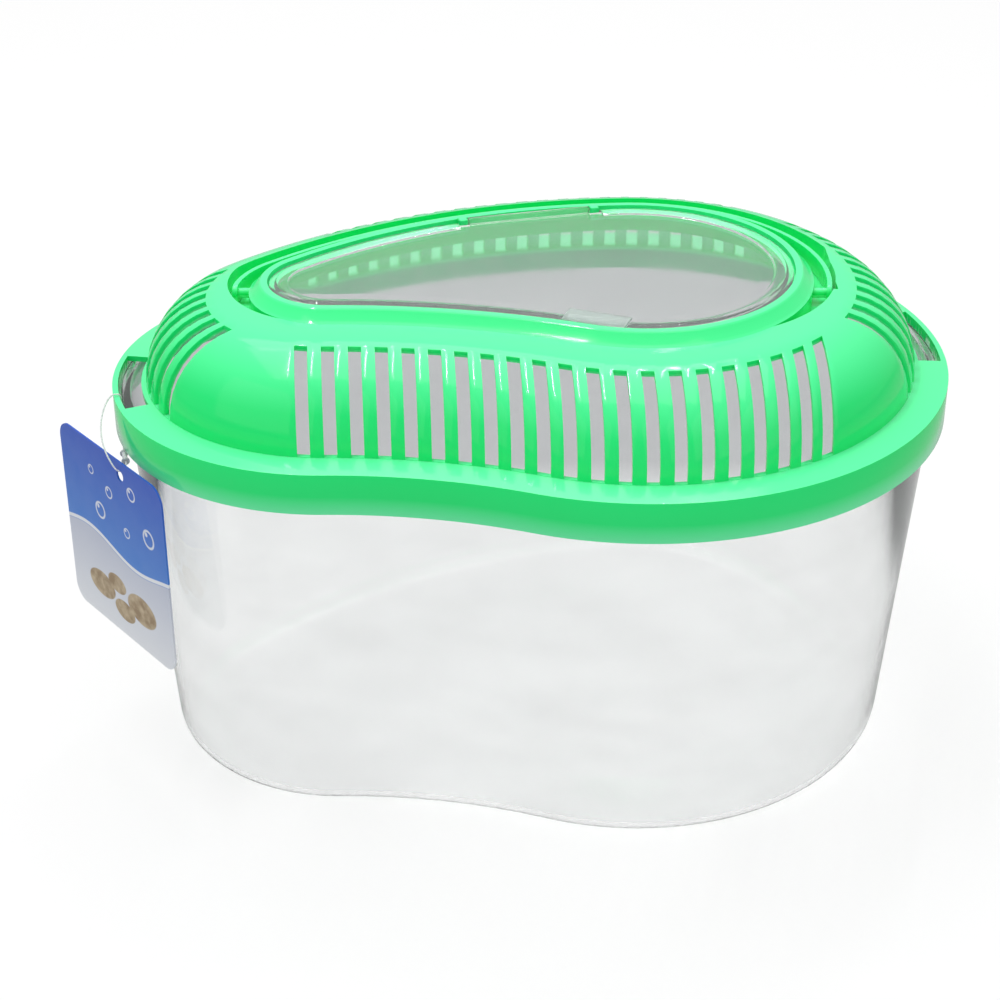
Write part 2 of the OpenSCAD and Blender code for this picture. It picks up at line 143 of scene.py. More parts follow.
@dataclass(frozen=True)
class Outline:
    """The kidney outline of the rim, as four arcs that touch."""

    right_r: float = 101.0
    left_r: float = 71.0
    back_r: float = 215.0
    front_r: float = 170.0
    right_c: Point = (34.0, 0.0)
    left_c: Point = (-64.0, -13.0)

    def span(self) -> float:
        """Returns the distance between the two end centres."""
        return math.dist(self.right_c, self.left_c)

    def lobe_turn(self) -> float:
        """Returns the bearing of the line from the left centre to the right."""
        return bearing(self.left_c, self.right_c)

    def centre_from_left(self, to_right: float, to_left: float, side: int) -> Point:
        """Finds a centre by its distances from the two end centres.

        Args:
            to_right: Distance to the right-hand centre.
            to_left: Distance to the left-hand centre.
            side: 1 for in front of the line between them, or -1 for behind.

        Returns:
            The centre in plan.
        """
        a, b, c = to_right, to_left, self.span()
        turn = self.lobe_turn() - side * math.acos((b * b + c * c - a * a) / (2 * b * c)) / TURN
        return (
            self.left_c[0] + b * math.cos(turn * TURN),
            self.left_c[1] + b * math.sin(turn * TURN),
        )

    def arcs(self) -> list[Arc]:
        """Works out the four arcs, each from where it touches the one before.

        Returns:
            The right, back, left and front arcs, in order.
        """
        back_c = self.centre_from_left(self.back_r - self.right_r, self.back_r - self.left_r, 1)
        front_c = self.centre_from_left(self.front_r + self.right_r, self.front_r + self.left_r, 1)
        back_0, back_1 = bearing(back_c, self.right_c), bearing(back_c, self.left_c)
        front_0, front_1 = bearing(front_c, self.right_c), bearing(front_c, self.left_c)
        return [
            Arc(self.right_c, self.right_r, front_0 - 180, back_0),
            Arc(back_c, self.back_r, back_0, back_1),
            Arc(self.left_c, self.left_r, back_1, front_1 + 180),
            Arc(front_c, self.front_r, front_1, front_0, hollow=True),
        ]


@dataclass(frozen=True)
class Foot:
    """The line round the foot of the dome, measured along its length.

    Attributes:
        arcs: The outline's four arcs.
        inside: Distance of the line inside the rim.
        deepest: Distance inside the rim past which a point isn't on an arc.
    """

    arcs: tuple[Arc, ...]
    inside: float
    deepest: float = 75.0

    def lengths(self) -> list[float]:
        """Returns the line's length on each arc."""
        return [abs(arc.end - arc.start) * TURN * arc.distance(self.inside) for arc in self.arcs]

    def run(self, index: int, turn: float) -> float:
        """Returns how far along the line a bearing on one arc lies."""
        arc = self.arcs[index]
        return sum(self.lengths()[:index]) + abs(turn - arc.start) * TURN * arc.distance(self.inside)

    def at(self, run: float) -> tuple[int, float]:
        """Finds the place at a distance along the line.

        Args:
            run: Distance along the line, from where the right arc starts.

        Returns:
            The arc's index and the bearing there.
        """
        lengths = self.lengths()
        run %= sum(lengths)
        index = 0
        while index < len(lengths) - 1 and run > lengths[index]:
            run -= lengths[index]
            index += 1
        arc = self.arcs[index]
        return index, arc.start + arc.sign() * run / arc.distance(self.inside) / TURN

    def locate(self, x: float, y: float) -> tuple[int, float, float]:
        """Finds where a plan point lies against the outline.

        Args:
            x: Its place to the right.
            y: Its place to the back.

        Returns:
            The arc's index, the bearing there and the distance inside the rim.
        """
        for index in (0, 2, 1, 3):
            arc = self.arcs[index]
            turn = arc.unwind(bearing(arc.centre, (x, y)))
            r = math.dist(arc.centre, (x, y))
            inside = r - arc.radius if arc.hollow else arc.radius - r
            if arc.spans(turn) and inside < self.deepest:
                break
        return index, turn, inside


def bearing(start: Point, end: Point) -> float:
    """Returns the bearing from one plan point to another, in degrees."""
    return math.atan2(end[1] - start[1], end[0] - start[0]) / TURN


def quarter(cx: float, cz: float, r: float, turns: list[float]) -> Section:
    """Returns section points on a circle, at turns given in degrees."""
    return [(cx + r * math.cos(t * TURN), cz + r * math.sin(t * TURN)) for t in turns]


def steps(first: float, last: float, count: int) -> list[float]:
    """Returns evenly spaced values, both ends among them."""
    return [first + (last - first) * i / count for i in range(count + 1)]


@dataclass(frozen=True)
class Place:
    """Where a piece stands: a point and a turn about the upright."""

    x: float
    y: float
    z: float = 0.0
    turn: float = 0.0


def fit(piece: Piece, body: Body, slot: str, finish: Finish, *nodes: str) -> None:
    """Dresses a piece and fits it to its body.

    Args:
        piece: The finished piece.
        body: The body that it rides on.
        slot: The record's material slot; not used.
        finish: Its material.
        nodes: The CAD nodes that it stands for.
    """
    piece.data.materials.clear()
    piece.data.materials.append(finish)
    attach(piece, body.value)
    if nodes:
        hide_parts(*nodes)
    log.info("%s rides on %s, for %s", piece.name, body.value, ", ".join(nodes) or "itself")


def let_light_through(piece: Piece) -> Piece:
    """Lets the lamps' light through a piece, as thin clear plastic does."""
    piece.visible_shadow = False
    return piece


class Bench:
    """Blender's own modelling operators, worked without a window."""

    @staticmethod
    def clear() -> None:
        """Leaves edit mode and deselects everything."""
        if bpy.context.object and bpy.context.object.mode != "OBJECT":
            bpy.ops.object.mode_set(mode="OBJECT")
        bpy.ops.object.select_all(action="DESELECT")

    @staticmethod
    def take(piece: Piece) -> Piece:
        """Makes a piece the only selected and active one.

        Args:
            piece: The piece.

        Returns:
            The same piece.
        """
        Bench.clear()
        piece.select_set(True)
        bpy.context.view_layer.objects.active = piece
        return piece

    @staticmethod
    def settle(piece: Piece) -> None:
        """Puts a piece's place into its mesh."""
        Bench.take(piece)
        bpy.ops.object.transform_apply(location=True, rotation=True, scale=True)

    @staticmethod
    def draw(name: str, points: list[tuple[float, float, float]]) -> Piece:
        """Draws a line by extruding one vertex from point to point.

        Args:
            name: Name of the new piece.
            points: The line's points in millimetres.

        Returns:
            The piece, in edit mode with its whole line selected.
        """
        Bench.clear()
        bpy.ops.mesh.primitive_plane_add(size=2 * MM, location=(0, 0, 0))
        piece = bpy.context.active_object
        piece.name = piece.data.name = name
        bpy.ops.object.mode_set(mode="EDIT")
        bpy.ops.mesh.select_mode(type="VERT")
        bpy.ops.mesh.select_all(action="SELECT")
        bpy.ops.mesh.merge(type="CENTER")
        bpy.ops.transform.translate(value=Vector(points[0]) * MM)
        for here, there in zip(points, points[1:]):
            step = (Vector(there) - Vector(here)) * MM
            bpy.ops.mesh.extrude_region_move(TRANSFORM_OT_translate={"value": step})
        bpy.ops.mesh.select_all(action="SELECT")
        return piece

    @staticmethod
    def weld(piece: Piece, closed: bool = True) -> None:
        """Merges doubles and, on a closed piece, points its faces outwards.

        Args:
            piece: The piece.
            closed: Whether the piece has an inside.
        """
        Bench.take(piece)
        bpy.ops.object.mode_set(mode="EDIT")
        bpy.ops.mesh.select_all(action="SELECT")
        bpy.ops.mesh.remove_doubles(threshold=DOUBLE)
        if closed:
            bpy.ops.mesh.normals_make_consistent(inside=False)
        bpy.ops.object.mode_set(mode="OBJECT")

    @staticmethod
    def cap(piece: Piece) -> None:
        """Closes each open ring of edges with one flat face.

        Args:
            piece: The piece, whose rings each lie at one height.
        """
        Bench.take(piece)
        bpy.ops.object.mode_set(mode="EDIT")
        mesh = bmesh.from_edit_mesh(piece.data)
        heights = {round(edge.verts[0].co.z, 6) for edge in mesh.edges if edge.is_boundary}
        for height in heights:
            bpy.ops.mesh.select_mode(type="EDGE")
            bpy.ops.mesh.select_all(action="DESELECT")
            mesh = bmesh.from_edit_mesh(piece.data)
            for edge in mesh.edges:
                edge.select = edge.is_boundary and abs(edge.verts[0].co.z - height) < 1e-5
            mesh.select_flush_mode()
            bmesh.update_edit_mesh(piece.data)
            bpy.ops.mesh.edge_face_add()
        bpy.ops.object.mode_set(mode="OBJECT")

    @staticmethod
    def work(piece: Piece, other: Piece, how: Boolean) -> None:
        """Works another solid on a piece, and removes the other.

        Args:
            piece: The piece.
            other: The solid that works on it.
            how: What it does to the piece.
        """
        Bench.take(piece)
        step = piece.modifiers.new("work", "BOOLEAN")
        step.operation = how.value
        step.solver = "EXACT"
        step.object = other
        bpy.ops.object.modifier_apply(modifier=step.name)
        bpy.data.objects.remove(other, do_unlink=True)

    @staticmethod
    def soften(piece: Piece, width: float, segments: int = 2, limit: float = 40) -> None:
        """Rounds a piece's sharp edges.

        Args:
            piece: The piece.
            width: Width of the rounding in millimetres.
            segments: Number of faces across it.
            limit: Smallest angle of an edge that counts as sharp, in degrees.
        """
        Bench.take(piece)
        step = piece.modifiers.new("soften", "BEVEL")
        step.width = width * MM
        step.segments = segments
        step.limit_method = "ANGLE"
        step.angle_limit = limit * TURN
        step.miter_outer = "MITER_ARC"
        bpy.ops.object.modifier_apply(modifier=step.name)

    @staticmethod
    def smooth(piece: Piece, angle: float = 32) -> None:
        """Shades a piece smooth up to an angle."""
        Bench.take(piece)
        bpy.ops.object.shade_smooth_by_angle(angle=angle * TURN)

    @staticmethod
    def block(name: str, low: tuple, high: tuple, place: Place | None = None) -> Piece:
        """Makes a block between two corners.

        Args:
            name: Name of the block.
            low: Its corner at the left, front and foot.
            high: Its corner at the right, back and top.
            place: The place that the corners are measured in, if it isn't the keeper's own.

        Returns:
            The block.
        """
        Bench.clear()
        bpy.ops.mesh.primitive_cube_add(size=1)
        piece = bpy.context.active_object
        piece.name = piece.data.name = name
        piece.scale = [(b - a) * MM for a, b in zip(low, high)]
        piece.location = [(a + b) / 2 * MM for a, b in zip(low, high)]
        Bench.settle(piece)
        return Bench.put(piece, place)

    @staticmethod
    def rod(
        name: str, start: tuple, end: tuple, diameter: float, place: Place | None = None, sides: int = 32
    ) -> Piece:
        """Makes a round rod from one point to another.

        Args:
            name: Name of the rod.
            start: Middle of its first end.
            end: Middle of its other end.
            diameter: Its diameter.
            place: The place that the points are measured in, if it isn't the keeper's own.
            sides: Number of faces round it.

        Returns:
            The rod.
        """
        Bench.clear()
        a, b = Vector(start) * MM, Vector(end) * MM
        bpy.ops.mesh.primitive_cylinder_add(vertices=sides, radius=diameter / 2 * MM, depth=(b - a).length)
        piece = bpy.context.active_object
        piece.name = piece.data.name = name
        piece.rotation_mode = "QUATERNION"
        piece.rotation_quaternion = (b - a).to_track_quat("Z", "Y")
        piece.location = (a + b) / 2
        Bench.settle(piece)
        return Bench.put(piece, place)

    @staticmethod
    def put(piece: Piece, place: Place | None) -> Piece:
        """Turns and moves a piece from the origin to its place.

        Args:
            piece: The piece.
            place: Its place, or None to leave it.

        Returns:
            The same piece.
        """
        if place:
            piece.rotation_mode = "XYZ"
            piece.rotation_euler = (0, 0, place.turn * TURN)
            piece.location = [place.x * MM, place.y * MM, place.z * MM]
            Bench.settle(piece)
        return piece


@dataclass
class Sweep:
    """Spins a section round the kidney outline, arc by arc.

    Attributes:
        outline: The kidney outline.
        largest: The largest turn of one step, in degrees.
        breaks: For each arc, bearings at which a column of edges has to lie.
    """

    outline: Outline
    largest: float = 3.0
    breaks: dict[int, list[float]] = field(default_factory=dict)

    def make(self, name: str, section: Section, closed: bool = True) -> Piece:
        """Spins a section, given as (distance inside the rim, height).

        Args:
            name: Name of the new piece.
            section: The section's points.
            closed: Whether the section's last point joins its first.

        Returns:
            The swept piece, in object mode.
        """
        arcs = self.outline.arcs()
        first = arcs[0]
        ring = section + section[:1] if closed else section
        points = [(*first.point(first.start, inside), z) for inside, z in ring]
        piece = Bench.draw(name, points)
        if closed:
            bpy.ops.mesh.remove_doubles(threshold=DOUBLE)
            bpy.ops.mesh.select_all(action="SELECT")
        for index, arc in enumerate(arcs):
            self.turn(arc, self.breaks.get(index, []))
        bpy.ops.object.mode_set(mode="OBJECT")
        Bench.weld(piece, closed)
        return piece

    def turn(self, arc: Arc, breaks: list[float]) -> None:
        """Spins the selected section along one arc.

        Args:
            arc: The arc.
            breaks: Bearings at which a column of edges has to lie.
        """
        sign = arc.sign()
        inner = [b for b in breaks if 0 < sign * (b - arc.start) and 0 < sign * (arc.end - b)]
        stops = sorted([arc.start, arc.end, *inner], reverse=sign < 0)
        for here, there in zip(stops, stops[1:]):
            if abs(there - here) < TOUCH:
                continue
            count = max(1, math.ceil(abs(there - here) / self.largest))
            bpy.ops.mesh.spin(
                steps=count,
                angle=(here - there) * TURN,
                center=(arc.centre[0] * MM, arc.centre[1] * MM, 0),
                axis=(0, 0, 1),
            )

    def band(self, name: str, outer: float, inner: float, low: float, high: float) -> Piece:
        """Makes a ring with a rectangular section."""
        return self.make(name, [(inner, low), (outer, low), (outer, high), (inner, high)])


@dataclass(frozen=True)
class Slot:
    """A vent slot: a straight upright cut inwards from the foot of the dome.

    Attributes:
        foot: Plan point where its middle line crosses the dome's foot.
        turn: Bearing that it points outwards along, in degrees.
        reach: How far in from the foot it runs.
        near: How far before and past its ends an edge still belongs to it.
        wide: How far before and past its ends a crossing still belongs to it.
    """

    foot: Point
    turn: float
    reach: float
    near: Point = (1.5, 2.5)
    wide: Point = (4.0, 6.0)

    def across(self, x: float, y: float) -> float:
        """Returns a plan point's distance from the slot's middle line."""
        dx, dy = x - self.foot[0], y - self.foot[1]
        return -dx * math.sin(self.turn * TURN) + dy * math.cos(self.turn * TURN)

    def inward(self, x: float, y: float) -> float:
        """Returns how far in from the foot a plan point lies along the slot."""
        dx, dy = x - self.foot[0], y - self.foot[1]
        return -dx * math.cos(self.turn * TURN) - dy * math.sin(self.turn * TURN)

    def holds(self, x: float, y: float, half: float) -> bool:
        """Tells whether a plan point lies in the slot, to half its width."""
        inward = self.inward(x, y)
        return abs(self.across(x, y)) < half and -self.near[0] < inward < self.reach + self.near[1]

    def meet(self, arc: Arc, side: float, inside: float) -> float | None:
        """Returns the bearing at which one side of the slot meets an arc's line.

        Args:
            arc: The arc.
            side: Signed distance of the side from the slot's middle line.
            inside: Distance of the arc's line inside the rim.

        Returns:
            The bearing about the arc's centre in degrees, or None where they don't meet.
        """
        ux, uy = math.cos(self.turn * TURN), math.sin(self.turn * TURN)
        ox = self.foot[0] - side * uy - arc.centre[0]
        oy = self.foot[1] + side * ux - arc.centre[1]
        along = ox * ux + oy * uy
        square = along * along - ox * ox - oy * oy + arc.distance(inside) ** 2
        if square < 0:
            return None
        run = along - math.copysign(math.sqrt(square), along)
        turn = arc.unwind(math.atan2(oy - run * uy, ox - run * ux) / TURN)
        return turn if arc.spans(turn) and -self.wide[0] < run < self.reach + self.wide[1] else None


@dataclass
class Tank:
    """The clear tank: a tapering wall with a rolled lip, and a flat floor."""

    outline: Outline
    height: float = 129.5
    wall: float = 1.8
    top_in: float = 3.7
    taper: float = 9.5
    edge_r: float = 9.0
    lip_h: float = 2.6
    lip_out: float = 1.1
    core_in: float = 42.0
    edge_faces: int = 8

    def section(self) -> Section:
        """Draws the section from the middle of the floor round the lip and back.

        Returns:
            The section's points.
        """
        lean = math.atan2(self.taper, self.height) / TURN
        edge_in = self.top_in + self.taper
        edge_in += self.edge_r * (1 - math.sin(lean * TURN)) / math.cos(lean * TURN)
        lip_in = self.top_in - self.lip_out
        top = self.height
        under = (self.top_in + self.taper * self.lip_h / top, top - self.lip_h - self.lip_out)
        outer = quarter(edge_in, self.edge_r, self.edge_r, steps(270, 180 + lean, self.edge_faces))
        turns = steps(180 + lean, 270, self.edge_faces)
        inner = quarter(edge_in, self.edge_r, self.edge_r - self.wall, turns)
        middle = self.height / 2
        slope = self.taper / self.height
        out_mid = (self.top_in + slope * (top - middle), middle)
        in_mid = (out_mid[0] + self.wall, middle)
        return [
            (self.core_in, 0), *outer, out_mid, under, (lip_in, top - self.lip_h), (lip_in, top),
            (self.top_in + self.wall, top), in_mid, *inner, (self.core_in, self.wall),
        ]

    def build(self) -> Piece:
        """Models the tank.

        Returns:
            The tank's shell.
        """
        piece = Sweep(self.outline).make("tank_shell", self.section(), closed=False)
        Bench.cap(piece)
        Bench.weld(piece)
        Bench.soften(piece, width=0.35)
        Bench.smooth(piece, angle=40)
        return piece

    def dress(self, clear: Finish) -> None:
        """Builds the tank and fits it to its body."""
        fit(let_light_through(self.build()), Body.TANK, "clear_plastic", clear, "tank")


@dataclass
class Well:
    """The trough in the crown that the handle folds into."""

    outline: Outline
    outer_in: float = 34.0
    inner_in: float = 45.0
    left_x: float = -95.3
    right_x: float = 97.0
    join_y: float = 2.0
    left_end: Point = (-64.8, -4.8)
    left_end_r: float = 32.8
    right_end: Point = (46.6, 3.1)
    right_end_r: float = 50.8
    ears: tuple[float, float] = (-96.86, 96.62)
    ear_y: float = -8.4
    ear_half: float = 3.7

    def solid(self, name: str, grow: float, low: float, high: float) -> Piece:
        """Makes the trough's outline as a solid.

        Args:
            name: Name of the solid.
            grow: How far the outline is grown outwards.
            low: Height of its underside.
            high: Height of its top.

        Returns:
            The solid.
        """
        ring = Sweep(self.outline).band(name, self.outer_in - grow, self.inner_in + grow, low, high)
        foot, head = low - PAST, high + PAST
        front = (self.left_x - grow, self.join_y - grow, foot)
        reach = Bench.block("reach", front, (self.right_x + grow, FAR, head))
        for centre, radius in ((self.left_end, self.left_end_r), (self.right_end, self.right_end_r)):
            disc = Bench.rod("disc", (*centre, foot), (*centre, head), 2 * (radius + grow), sides=160)
            Bench.work(reach, disc, Boolean.JOIN)
        half = self.ear_half + grow
        y0, y1 = self.ear_y - half, self.ear_y + half
        left = (self.ears[0] - grow, self.outline.left_c[0])
        right = (self.outline.right_c[0], self.ears[1] + grow)
        for x0, x1 in (left, right):
            ear = Bench.block("ear", (x0, y0, foot), (x1, y1, head))
            Bench.work(reach, ear, Boolean.JOIN)
        Bench.work(ring, reach, Boolean.KEEP)
        return ring


@dataclass
class Hinge:
    """The hatch's hinge line, with its barrel, pegs and lugs."""

    place: Place = Place(-0.9311, 41.7224, 0.0, 104.3)
    height: float = 162.8
    barrel_d: float = 2.6
    barrel_l: float = 42.0
    peg_d: float = 1.6
    peg_gap: float = 0.06
    lug_w: float = 3.0
    gap: float = 0.4
    foot_z: float = 159.6

    def lug_y(self) -> float:
        """Returns the distance of a lug's middle from the hinge's middle."""
        return self.barrel_l / 2 + self.gap + self.lug_w / 2

    def deep(self) -> float:
        """Returns half the depth of a lug."""
        return self.barrel_d / 2 + self.gap

    def lug(self, side: int) -> Piece:
        """Makes one lug with a rounded head and a hole for its peg.

        Args:
            side: 1 or -1, for the lug's side of the hinge's middle.

        Returns:
            The lug.
        """
        y0, y1 = side * self.lug_y() - self.lug_w / 2, side * self.lug_y() + self.lug_w / 2
        top = self.height + self.barrel_d / 2
        lug = Bench.block("lug", (-self.deep(), y0, self.foot_z), (self.deep(), y1, top), self.place)
        Bench.soften(lug, width=0.5, segments=3)
        ends = (0, y0 - PAST, self.height), (0, y1 + PAST, self.height)
        hole = Bench.rod("hole", *ends, self.peg_d + 2 * self.peg_gap, self.place)
        Bench.work(lug, hole, Boolean.CUT)
        return lug

    def room(self, side: int, low: float, high: float) -> Piece:
        """Makes the block that clears the hatch round one lug.

        Args:
            side: 1 or -1, for the lug's side of the hinge's middle.
            low: Height of its underside.
            high: Height of its top.

        Returns:
            The block.
        """
        half = self.lug_w / 2 + self.gap
        middle = side * self.lug_y()
        back, front = -self.deep() - self.gap, 2 * self.barrel_d - self.deep() - self.gap
        return Bench.block("room", (back, middle - half, low), (front, middle + half, high), self.place)


@dataclass
class VentedLid:
    """The green lid: band, ledge, slotted dome, crown, collar and hatch seat."""

    outline: Outline
    hinge: Hinge
    well: Well
    wall: float = 1.8
    band_z: float = 118.2
    ledge_z: float = 131.6
    ledge_w: float = 10.8
    dome_r: float = 28.0
    crown_z: float = 159.6
    crown_in: float = 45.0
    collar_z: float = 163.4
    collar_in: float = 51.0
    seat_z: float = 160.5
    seat_t: float = 1.8
    opening_in: float = 54.5
    pitch: float = 8.1
    slot_w: float = 3.9
    slot_rise: float = 0.195
    slot_reach: float = 20.6
    front_lean: float = 4.0
    left_fan: float = 48.0
    right_fan: float = 105.0
    front_mid: float = 75.0
    back_mid: float = 33.4
    row: int = 21
    left_count: int = 8
    right_count: int = 12
    latch_w: float = 40.0
    latch_slit: float = 7.4
    well_z: float = 153.3
    pivot_y: float = -8.4
    pivot_z: float = 156.6
    hole_d: float = 3.36
    holes: tuple[Point, Point] = ((-94.66, -84.76), (84.55, 94.42))
    flank_turns: tuple[float, ...] = (9.0, 18.5, 28.0, 37.5, 47.0, 56.5, 66.0)
    crest_turns: tuple[float, float] = (82.0, 90.0)
    collar_foot: Point = (1.1, 0.7)
    collar_edge: Point = (2.9, 0.6)
    collar_rim: float = 2.2
    trough_lap: float = 0.2
    notch_w: float = 9.0
    notch_drop: float = 3.0
    notch_reach: float = 7.1
    column: float = 2.6
    slack: float = 0.2

    def dome_in(self) -> float:
        """Returns the distance of the dome's centre line inside the rim."""
        return self.ledge_w + self.dome_r

    def top_in(self) -> float:
        """Returns the distance of the slots' upper ends inside the rim."""
        return self.ledge_w + self.slot_reach

    def flank(self, radius: float, down: bool) -> Section:
        """Draws one face of the dome, with rows at the slots' two ends.

        Args:
            radius: The face's radius.
            down: Whether the points run from the crown to the foot.

        Returns:
            The face's points.
        """
        low = math.asin(self.slot_rise / radius) / TURN
        high = math.acos((self.dome_in() - self.top_in()) / radius) / TURN
        turns = [0.0, low, *self.flank_turns, high, *self.crest_turns]
        points = quarter(self.dome_in(), self.ledge_z, radius, [180 - t for t in turns])
        return points[::-1] if down else points

    def section(self) -> Section:
        """Draws the section from the band's foot over the dome and back.

        Returns:
            The section's points.
        """
        thin = self.dome_r - self.wall
        low = self.ledge_z - self.wall
        foot = (self.crown_in + self.collar_foot[0], self.crown_z + self.collar_foot[1])
        edge = (self.collar_in - self.collar_edge[0], self.collar_z - self.collar_edge[1])
        return [
            (0, self.band_z), (0, self.ledge_z), *self.flank(self.dome_r, down=False),
            (self.crown_in, self.crown_z), foot, edge, (self.collar_in - self.collar_rim, self.collar_z),
            (self.collar_in, self.collar_z), (self.collar_in, self.seat_z),
            (self.opening_in, self.seat_z), (self.opening_in, self.seat_z - self.seat_t),
            (self.collar_in, self.crown_z - self.wall), *self.flank(thin, down=True),
            (self.ledge_w + self.wall, low), (self.wall, low), (self.wall, self.band_z),
        ]

    def slot(self, arc: Arc, turn: float, to: float) -> Slot:
        """Lays out one slot.

        Args:
            arc: The arc that it starts from.
            turn: Bearing about that arc at which its foot lies.
            to: Bearing that it points outwards along.

        Returns:
            The slot.
        """
        foot, end = arc.distance(self.ledge_w), arc.distance(self.top_in())
        along = foot * math.cos((turn - to) * TURN)
        root = math.sqrt(along * along - foot * foot + end * end)
        return Slot(arc.point(turn, self.ledge_w), to, along - math.copysign(root, along))

    def slots(self) -> list[Slot]:
        """Lays out the slots of the front, back and end rows.

        Returns:
            Every slot.
        """
        foot = Foot(tuple(self.outline.arcs()), self.ledge_w)
        lengths = foot.lengths()
        front_from, back_from = sum(lengths[:3]), lengths[0]
        found = []
        for i in range(self.row):
            shift = (i - (self.row - 1) / 2) * self.pitch
            index, turn = foot.at(front_from + self.front_mid + shift)
            found.append(self.slot(foot.arcs[index], turn, self.front_lean - 90))
            index, turn = foot.at(back_from + self.back_mid + shift)
            found.append(self.slot(foot.arcs[index], turn, turn))
        lobe = self.outline.lobe_turn()
        ends = (
            (foot.arcs[2], lobe + 180, self.left_count, self.left_fan),
            (foot.arcs[0], lobe, self.right_count, self.right_fan),
        )
        for arc, middle, count, fan in ends:
            r = arc.distance(self.ledge_w)
            for i in range(count):
                off = (i - (count - 1) / 2) * self.pitch / r
                to = middle + math.atan2(r * math.sin(off), fan + r * math.cos(off)) / TURN
                found.append(self.slot(arc, middle + off / TURN, to))
        return found

    def columns(self, foot: Foot, slots: list[Slot], inside: float) -> list[tuple[int, float]]:
        """Finds where the slots' sides cross one line round the dome.

        Args:
            foot: The line round the dome's foot.
            slots: The slots.
            inside: Distance of the line inside the rim.

        Returns:
            The arc and the bearing there, for both sides of each slot in turn.
        """
        found = []
        for slot in slots:
            for side in (-self.slot_w / 2, self.slot_w / 2):
                turns = [slot.meet(arc, side, inside) for arc in foot.arcs]
                index = next(i for i, turn in enumerate(turns) if turn is not None)
                found.append((index, turns[index]))
        return found

    def straighten(self, piece: Piece, foot: Foot, slots: list[Slot]) -> None:
        """Slides the dome's columns round it, so that the slots' sides run straight.

        Args:
            piece: The swept lid.
            foot: The line round the dome's foot.
            slots: The slots.
        """
        total = sum(foot.lengths())
        starts = [foot.run(*place) for place in self.columns(foot, slots, foot.inside)]
        shifts: dict[float, np.ndarray] = {}
        sliver = 0.01
        for vertex in piece.data.vertices:
            index, turn, inside = foot.locate(vertex.co.x / MM, vertex.co.y / MM)
            if not self.ledge_w + sliver < inside < self.crown_in - sliver:
                continue
            level = round(inside, 2)
            if level not in shifts:
                line = min(inside, self.top_in())
                ends = [foot.run(*place) for place in self.columns(foot, slots, line)]
                fade = min(1.0, (self.crown_in - inside) / (self.crown_in - self.top_in()))
                slides = [(e - s + total / 2) % total - total / 2 for s, e in zip(starts, ends)]
                shifts[level] = fade * np.array(slides)
            run = foot.run(index, turn)
            run += float(np.interp(run, starts, shifts[level], period=total))
            index, turn = foot.at(run)
            x, y = foot.arcs[index].point(turn, inside)
            vertex.co.x, vertex.co.y = x * MM, y * MM
        piece.data.update()

    def open_slots(self, piece: Piece, foot: Foot, slots: list[Slot]) -> None:
        """Deletes the dome's faces in each slot and bridges its two rims.

        Args:
            piece: The lid, with its columns straightened.
            foot: The line round the dome's foot.
            slots: The slots.
        """
        Bench.take(piece)
        bpy.ops.object.mode_set(mode="EDIT")
        bpy.ops.mesh.select_mode(type="FACE")
        bpy.ops.mesh.select_all(action="DESELECT")
        mesh = bmesh.from_edit_mesh(piece.data)
        low = self.ledge_z + self.slot_rise - 1e-3
        top = self.top_in() + 0.05
        half = self.slot_w / 2
        for face in mesh.faces:
            if min(v.co.z for v in face.verts) / MM < low:
                continue
            x, y, _ = face.calc_center_median() / MM
            if any(slot.holds(x, y, half - self.slack) for slot in slots):
                depths = [foot.locate(v.co.x / MM, v.co.y / MM)[2] for v in face.verts]
                face.select = max(depths) < top
        bmesh.update_edit_mesh(piece.data)
        bpy.ops.mesh.delete(type="FACE")
        bpy.ops.mesh.select_mode(type="EDGE")
        for slot in slots:
            bpy.ops.mesh.select_all(action="DESELECT")
            mesh = bmesh.from_edit_mesh(piece.data)
            for edge in mesh.edges:
                if edge.is_boundary:
                    x, y, _ = (edge.verts[0].co + edge.verts[1].co) / 2 / MM
                    if slot.holds(x, y, half + self.slack):
                        edge.select = True
            mesh.select_flush_mode()
            bmesh.update_edit_mesh(piece.data)
            bpy.ops.mesh.bridge_edge_loops()
        bpy.ops.object.mode_set(mode="OBJECT")

    def latch_gap(self, centre: Point, radius: float, middle: float) -> Piece:
        """Makes the cutter for the gap that frees the band at one end.

        Args:
            centre: Centre of the end's arc.
            radius: Its radius at the rim.
            middle: Bearing of the gap's middle.

        Returns:
            The cutter.
        """
        turn = self.latch_w / radius / TURN
        outer, inner = radius - self.wall, radius - self.wall - self.latch_slit
        low, high = self.ledge_z - self.wall - PAST, self.ledge_z + PAST
        start = middle - turn / 2
        ux, uy = math.cos(start * TURN), math.sin(start * TURN)
        corners = [(inner, low), (outer, low), (outer, high), (inner, high), (inner, low)]
        points = [(centre[0] + r * ux, centre[1] + r * uy, z) for r, z in corners]
        piece = Bench.draw("latch_gap", points)
        bpy.ops.mesh.remove_doubles(threshold=DOUBLE)
        bpy.ops.mesh.select_all(action="SELECT")
        bpy.ops.mesh.edge_face_add()
        pole = (centre[0] * MM, centre[1] * MM, 0)
        bpy.ops.mesh.spin(steps=16, angle=-turn * TURN, center=pole, axis=(0, 0, 1))
        bpy.ops.object.mode_set(mode="OBJECT")
        Bench.weld(piece)
        return piece

